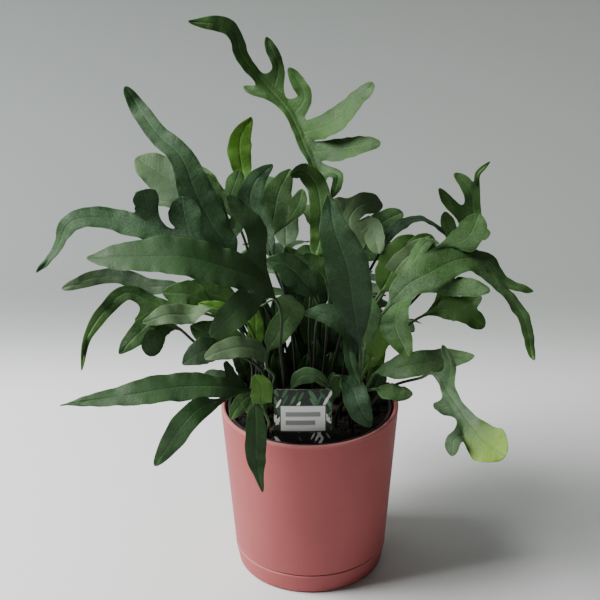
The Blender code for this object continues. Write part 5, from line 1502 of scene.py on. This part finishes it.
def add_lobes(frond, sheet, blade, draw):
    """Adds a frond's lobes to its sheet. Gives the numbers of the points in the bays beside them."""
    ribbon, stalk, length, rows, grid = blade
    taken = {-1: 0, 1: 0}
    bays = []
    for share, points, width in sorted(frond.lobes):
        point, forward, up, right = ribbon.at(stalk + share * length)
        side = 1 if (np.array(points[0]) - point).dot(right) > 0 else -1
        span = max(1, round(0.5 * width / (length / rows)))
        first = max(round(share * rows) - span, taken[side])
        last = min(first + 2 * span, rows - 1)
        taken[side] = last
        if last - first < 2:
            continue
        column = -1 if side > 0 else 0
        edge = [grid[k][column] for k in range(first * FINE, last * FINE + 1)]
        bays += [edge[0], edge[-1]]
        for index in edge[1:-1]:
            sheet.over[index] = LEAF_HALF
            sheet.under[index] = LEAF_HALF
        margin = np.array([sheet.points[k] for k in edge])
        start = margin[::FINE].mean(axis=0)
        lobe = Ribbon(smooth_curve(lobe_route(start, points, side, forward, right), CURVE_SAMPLES), up, 0.0)
        spread = np.linspace(-1, 1, len(edge))
        near_rib = np.exp(-(spread / LOBE_RIB_REACH) ** 2)
        inner = (np.abs(spread) < 1) * rounded_edge(spread)
        wander = {-1: uneven(draw), 1: uneven(draw)}
        count = max(LEAST_LOBE_ROWS, round(lobe.length / LOBE_ROW_LENGTH))
        shares = [1 - (1 - k / count) ** LOBE_CROWDING for k in range(1, count + 1)]
        before = edge
        before_marks = [(width / 2 * s, 0.0) for s in spread]
        for out in shares:
            place, _, up_here, right_here = lobe.at(out * lobe.length)
            half = width / 2 * width_at(LOBE, out)
            sides = uneven_sides(wander, out, spread)
            lateral = spread * np.maximum(half * sides, LEAST_HALF_WIDTH)
            swing = ease(out / LOBE_FLARE)
            own = place + np.outer(lateral, -side * right_here)
            shifted = margin + place - start
            placed = own * swing + shifted * (1 - swing) + np.outer(keel(lateral) * swing, up_here)
            solid = inner * (out < 1)
            over = solid * (LEAF_HALF - LOBE_GROOVE * RIB_GROOVE * near_rib)
            under = solid * (LEAF_HALF + RIB_BULGE * (1 - LOBE_RIB_FADE * out) * near_rib)
            row = sheet.row(placed, over, under, 1.0)
            row_marks = [(a, out * lobe.length) for a in lateral]
            sheet.join(before, row, before_marks, row_marks, flip=-side)
            before = row
            before_marks = row_marks
    return bays


print("lobe builder ready")

# %% [markdown]
# ## Softening and ripples
# Three passes turn the drawn sheet into a grown one. First the bays between lobes are smoothed:
# a margin point moves towards its two margin neighbours, and an inner point towards all of its
# neighbours, more strongly the nearer a bay is. Then the blade is ruffled: the margin rises and
# falls with the distance walked around it, and the ruffle dies away inwards, as in a leaf whose
# edge has grown faster than its middle. A slow noise bends the whole blade a little as well.

# %% Softening and ripples
BAY_REACH = 0.55
BAY_PASSES = 14
BAY_PULL = 0.5
AT_ONCE = 64
RUFFLE = 0.085
RUFFLE_DEPTH = 0.5
SWAY = 0.10
SWAY_SIZE = 3.0
RIPPLES = ((3.7, 1.0), (2.1, 0.7), (1.1, 0.35))


def margin_loop(faces):
    """The sheet's margin as point numbers in walking order, found from the edges with one face."""
    following = {}
    directed = {(a, b) for face in faces for a, b in zip(face, face[1:] + face[:1])}
    for a, b in directed:
        if (b, a) not in directed:
            following[a] = b
    first = next(iter(following))
    loop = [first]
    while following[loop[-1]] != first:
        loop.append(following[loop[-1]])
    return loop


def nearest(points, others):
    """For each point, the distance to the nearest of the others and that one's place in the list."""
    best = np.full(len(points), np.inf)
    which = np.zeros(len(points), int)
    for start in range(0, len(others), AT_ONCE):
        gaps = np.linalg.norm(points[:, None] - others[None, start:start + AT_ONCE], axis=2)
        low = gaps.argmin(axis=1)
        value = gaps[np.arange(len(points)), low]
        closer = value < best
        best[closer] = value[closer]
        which[closer] = low[closer] + start
    return best, which


def soften_bays(points, faces, loop, bays):
    """Rounds the bays between the lobes."""
    pairs = np.array(sorted({tuple(sorted(pair)) for face in faces
                             for pair in zip(face, face[1:] + face[:1])}))
    on_margin = np.zeros(len(points), bool)
    on_margin[loop] = True
    distance, _ = nearest(points, points[bays])
    pull = BAY_PULL * np.exp(-(distance / BAY_REACH) ** 2)[:, None]
    ring = np.array(loop)
    for _ in range(BAY_PASSES):
        total = np.zeros_like(points)
        count = np.zeros(len(points))
        for a, b in ((0, 1), (1, 0)):
            np.add.at(total, pairs[:, a], points[pairs[:, b]])
            np.add.at(count, pairs[:, a], 1)
        target = total / count[:, None]
        target[ring] = (points[np.roll(ring, 1)] + points[np.roll(ring, -1)]) / 2
        points = points + pull * (target - points)
    return points


def sheet_normals(points, faces):
    """Each point's upward direction: the mean of its faces', by area."""
    quads = np.array(faces)
    flat = np.cross(points[quads[:, 2]] - points[quads[:, 0]], points[quads[:, 3]] - points[quads[:, 1]])
    normals = np.zeros_like(points)
    for k in range(4):
        np.add.at(normals, quads[:, k], flat)
    return unit(normals)


def ruffled(points, faces, loop, blade, draw):
    """Ripples the margin and sways the blade. Gives the points and each one's margin distance."""
    ring = points[loop]
    walked = np.concatenate([[0.0], np.cumsum(np.linalg.norm(np.diff(ring, axis=0), axis=1))])
    margin, which = nearest(points, ring)
    along = walked[which]
    starts = draw.uniform(0, math.tau, len(RIPPLES))
    ripple = sum(share * np.sin(math.tau * along / wave + start)
                 for (wave, share), start in zip(RIPPLES, starts))
    seed = Vector(draw.uniform(0, 50, 3))
    sway = np.array([noise.noise(Vector(p) / SWAY_SIZE + seed) for p in points])
    rise = RUFFLE * ripple * np.exp(-margin / RUFFLE_DEPTH) + SWAY * sway
    return points + sheet_normals(points, faces) * (rise * blade)[:, None], margin


print("margin ripple:", round(RUFFLE * STEP / MM, 2), "mm")

# %% [markdown]
# ## The leaf's finish
# The upper side of this fern is a dull blue-green with a waxy bloom that lies in soft patches.
# The midrib is a little paler. Side veins leave it at a slant, several millimetres apart, with
# a fine net between them, and both are pressed slightly into the surface. The under side is
# paler, the very margin is thin and light, and a stalk is brown-black at its foot and green
# higher up. `leaf_veins` draws side veins and net on the two coordinates that the mesh carries.
# A blade's tip is younger and fresher than its foot, and a third coordinate, a tone that each
# frond has, makes some whole blades fresher and gives others more bloom.

# %% Veins
VEIN_WANDER = 4.0 * MM
WANDERS_PER_METRE = 90.0

veins = Group("leaf_veins", {"Lateral": 0.0, "Along": 0.0, "Spacing mm": 6.0, "Slant": 0.55, "Net mm": 2.6},
              ("Side veins", "Net"))
tree = veins.tree
away = calc(tree, "ABSOLUTE", veins.inputs["Lateral"])
flat_place = put(tree, "CombineXYZ", veins.inputs["Lateral"], veins.inputs["Along"], 0.0).outputs[0]
bend = put(tree, "TexNoise", flat_place, None, WANDERS_PER_METRE, 1.0, 0.5).outputs[0]
slanted = minus(tree, veins.inputs["Along"], times(tree, away, veins.inputs["Slant"]))
slanted = plus(tree, slanted, times(tree, bend, VEIN_WANDER))
spacing = times(tree, veins.inputs["Spacing mm"], MM)
phase = calc(tree, "FRACT", calc(tree, "DIVIDE", slanted, spacing))
from_vein = calc(tree, "ABSOLUTE", minus(tree, phase, 0.5))
veins.send("Side veins", steps_between(tree, from_vein, 0.0, 0.09, 1.0, 0.0))
mesh_cells = put(tree, "TexVoronoi", flat_place, None, per_metre(veins, "Net mm"),
                 feature="DISTANCE_TO_EDGE")
veins.send("Net", steps_between(tree, mesh_cells.outputs["Distance"], 0.0, 0.10, 1.0, 0.0))
print("vein group:", [socket.name for socket in veins.tree.interface.items_tree])

# %% Leaf finishes
Tones = namedtuple("Tones", "deep light bloom rib below fresh tip")
LEAF_TONES = {
    "green": Tones((0.007, 0.034, 0.004, 1), (0.034, 0.092, 0.015, 1), (0.100, 0.170, 0.078, 1),
                   (0.060, 0.130, 0.030, 1), (0.070, 0.130, 0.048, 1), (0.058, 0.135, 0.010, 1), 0.12),
    "slate": Tones((0.004, 0.025, 0.005, 1), (0.016, 0.055, 0.014, 1), (0.092, 0.152, 0.090, 1),
                   (0.042, 0.092, 0.034, 1), (0.058, 0.102, 0.052, 1), (0.048, 0.105, 0.018, 1), 0.08),
    # deep: painted shade, darker tones for fronds low inside the plant
    "deep": Tones((0.003, 0.018, 0.002, 1), (0.010, 0.036, 0.005, 1), (0.027, 0.055, 0.022, 1),
                  (0.030, 0.070, 0.016, 1), (0.038, 0.075, 0.026, 1), (0.034, 0.085, 0.008, 1), 0.10),
    # bright: painted light, the yellow-green of light shining through a blade
    "bright": Tones((0.026, 0.092, 0.004, 1), (0.060, 0.158, 0.009, 1), (0.105, 0.200, 0.036, 1),
                    (0.095, 0.200, 0.018, 1), (0.090, 0.180, 0.025, 1), (0.100, 0.205, 0.010, 1), 0.40),
    # pale: more waxy bloom, and partly a painted highlight where a blade catches the light
    "pale": Tones((0.036, 0.076, 0.030, 1), (0.076, 0.128, 0.062, 1), (0.175, 0.235, 0.168, 1),
                  (0.110, 0.170, 0.080, 1), (0.120, 0.175, 0.100, 1), (0.105, 0.175, 0.042, 1), 0.20),
    "young": Tones((0.016, 0.048, 0.015, 1), (0.046, 0.094, 0.034, 1), (0.115, 0.175, 0.100, 1),
                   (0.085, 0.150, 0.045, 1), (0.085, 0.145, 0.060, 1), (0.190, 0.320, 0.040, 1), 0.95),
}
STALK_BROWN = (0.008, 0.006, 0.004, 1)
SHEEN = (0.75, 0.92, 0.80, 1)
# What the mesh says of a place on a leaf
OnLeaf = namedtuple("OnLeaf", "lateral along margin stalk below tone")


def leaf_colour(tree, tones, at, blade, rib, pattern, cloudy, powder):
    """The colour of a blade and its stalk."""
    colour = mix_colour(tree, patchy(tree, 34.0, 2.8), tones.deep, tones.light)

    own_fresh = steps_between(tree, at.tone, 0.45, 1.0, 0.0, 0.25)
    tip_fresh = steps_between(tree, at.along, 42 * MM, 88 * MM, 0.0, tones.tip)
    fresh = calc(tree, "MAXIMUM", own_fresh, tip_fresh)
    colour = mix_colour(tree, fresh, colour, tones.fresh)

    bloom = plus(tree, times(tree, cloudy, 0.60), times(tree, patchy(tree, 2.6, 3.2), 0.40))
    for less in (steps_between(tree, powder, 0.38, 0.62, 0.25, 1.0),
                 steps_between(tree, at.tone, 0.0, 1.0, 0.85, 0.30),
                 steps_between(tree, at.margin, 0.5 * MM, 4.0 * MM, 0.35, 1.0),
                 minus(tree, 1.0, fresh)):
        bloom = times(tree, bloom, less)
    colour = mix_colour(tree, bloom, colour, tones.bloom)

    colour = tinted(tree, colour, tones.deep, pattern["Net"], 0.14)
    colour = tinted(tree, colour, tones.rib, pattern["Side veins"], 0.10)
    colour = tinted(tree, colour, tones.rib, rib, steps_between(tree, at.below, 0.0, 1.0, 0.22, 0.7))
    colour = tinted(tree, colour, tones.below, at.below, 0.75)
    pale_band = steps_between(tree, at.margin, 0.1 * MM, 0.9 * MM, 0.5, 0.0)
    colour = tinted(tree, colour, tones.rib, pale_band, blade)
    browned = steps_between(tree, at.along, -60 * MM, -8 * MM, 0.97, 0.2)
    return tinted(tree, colour, STALK_BROWN, browned, at.stalk)


def leaf_finish(name, tones):
    """One of the six finishes, with its colour, roughness and relief."""
    made, tree, shader = new_material(name, Specular_IOR_Level=0.24, Sheen_Weight=0.08,
                                      Sheen_Roughness=0.4, Sheen_Tint=SHEEN)
    stored = [put(tree, "Attribute", attribute_name=label).outputs["Vector"]
              for label in ("blade_place", "blade_kind")]
    at = OnLeaf(*split(tree, stored[0]), *split(tree, stored[1]))
    blade = minus(tree, 1.0, at.stalk)
    away = calc(tree, "ABSOLUTE", at.lateral)
    rib = times(tree, steps_between(tree, away, 0.3 * MM, 1.0 * MM, 1.0, 0.0), blade)
    pattern = veins.use(tree, Lateral=at.lateral, Along=at.along, Spacing_mm=6.5, Slant=0.6, Net_mm=2.0)
    cloudy = patchy(tree, 21.0, 3.0)
    powder = grainy(tree, 0.8, 0.75)["Height"]
    colour = leaf_colour(tree, tones, at, blade, rib, pattern, cloudy, powder)
    rough = plus(tree, steps_between(tree, cloudy, 0.0, 1.0, 0.48, 0.64), times(tree, at.below, 0.12))

    pressed = times(tree, pattern["Side veins"], -0.25)
    pressed = minus(tree, pressed, times(tree, pattern["Net"], 0.2))
    pressed = minus(tree, pressed, times(tree, rib, 0.5))
    facing = steps_between(tree, at.below, 0.0, 1.0, 1.0, -1.0)
    relief = times(tree, times(tree, pressed, facing), blade)
    relief = plus(tree, relief, times(tree, patchy(tree, 7.0, 1.2), 0.9))
    relief = plus(tree, relief, times(tree, powder, 0.35))
    dress(tree, shader, colour, rough, relief, 0.35 * MM)
    return made


leaf_materials = {leaf: leaf_finish("fern_leaf_" + leaf, tones) for leaf, tones in LEAF_TONES.items()}
print("leaf finishes:", list(leaf_materials))

# %% [markdown]
# ## Growing every frond
# The sheet gets its two sides: each point moves out along its normal to the upper side and in
# to the under side, and points on the margin stay shared, so the blade thins to an edge. Each
# frond draws its own random numbers from a seed that is its place in the table, so that one
# frond can be changed without changing all the others.

# %% Grow the fronds
def solid_leaf(name, sheet, points, margin, tone):
    """A closed mesh from a sheet whose points have moved, with its corner attributes."""
    over = np.array(sheet.over)
    under = np.array(sheet.under)
    normals = sheet_normals(points, sheet.faces)
    inner = [k for k in range(len(points)) if over[k] > 0 or under[k] > 0]
    below = dict(zip(inner, range(len(points), len(points) + len(inner))))
    top = points + normals * over[:, None]
    bottom = points[inner] - normals[inner] * under[inner, None]
    verts = np.vstack([top, bottom]) * STEP + (0, 0, POT_TOP)
    corners = []
    places = []
    kinds = []

    def face(numbers, face_marks, side):
        corners.append(tuple(below.get(k, k) if side else k for k in numbers))
        for k, (lateral, along) in zip(numbers, face_marks):
            places.append((lateral * STEP, along * STEP, margin[k] * STEP))
            kinds.append((1 - sheet.blade[k], side, tone))

    for numbers, face_marks in zip(sheet.faces, sheet.marks):
        face(numbers, face_marks, 0)
        face(numbers[::-1], face_marks[::-1], 1)
    foot = range(len(COLUMNS))
    corners.append(tuple(foot[::-1]) + tuple(below[k] for k in foot[1:-1]))
    places += [(0.0, -1.0, 0.0)] * len(corners[-1])
    kinds += [(1.0, 0.0, tone)] * len(corners[-1])
    mesh = bpy.data.meshes.new(name)
    mesh.from_pydata([tuple(v) for v in verts], [], corners)
    for label, values in (("blade_place", places), ("blade_kind", kinds)):
        stored = mesh.attributes.new(label, "FLOAT_VECTOR", "CORNER")
        stored.data.foreach_set("vector", np.array(values, np.float32).ravel())
    return mesh


FROND_SEED = 100
triangle_count = 0
for number, frond in enumerate([*CAD_FRONDS, *SMALL_FRONDS]):
    draw = np.random.default_rng(FROND_SEED + number)
    sheet = Sheet()
    blade = blade_sheet(frond, sheet, draw)
    bays = add_lobes(frond, sheet, blade, draw)
    points = np.array(sheet.points)
    loop = margin_loop(sheet.faces)
    if bays:
        points = soften_bays(points, sheet.faces, loop, bays)
    points, margin = ruffled(points, sheet.faces, loop, np.array(sheet.blade), draw)
    mesh = solid_leaf("fern_" + frond.name, sheet, points, margin, draw.random())
    solids = ["frond_" + frond.name] if number < len(CAD_FRONDS) else ()
    finished(mesh, leaf_materials[frond.leaf], solids, sharp=70)
    triangle_count += sum(len(face.vertices) - 2 for face in mesh.polygons)
print("fronds grown:", number + 1, "triangles:", triangle_count)
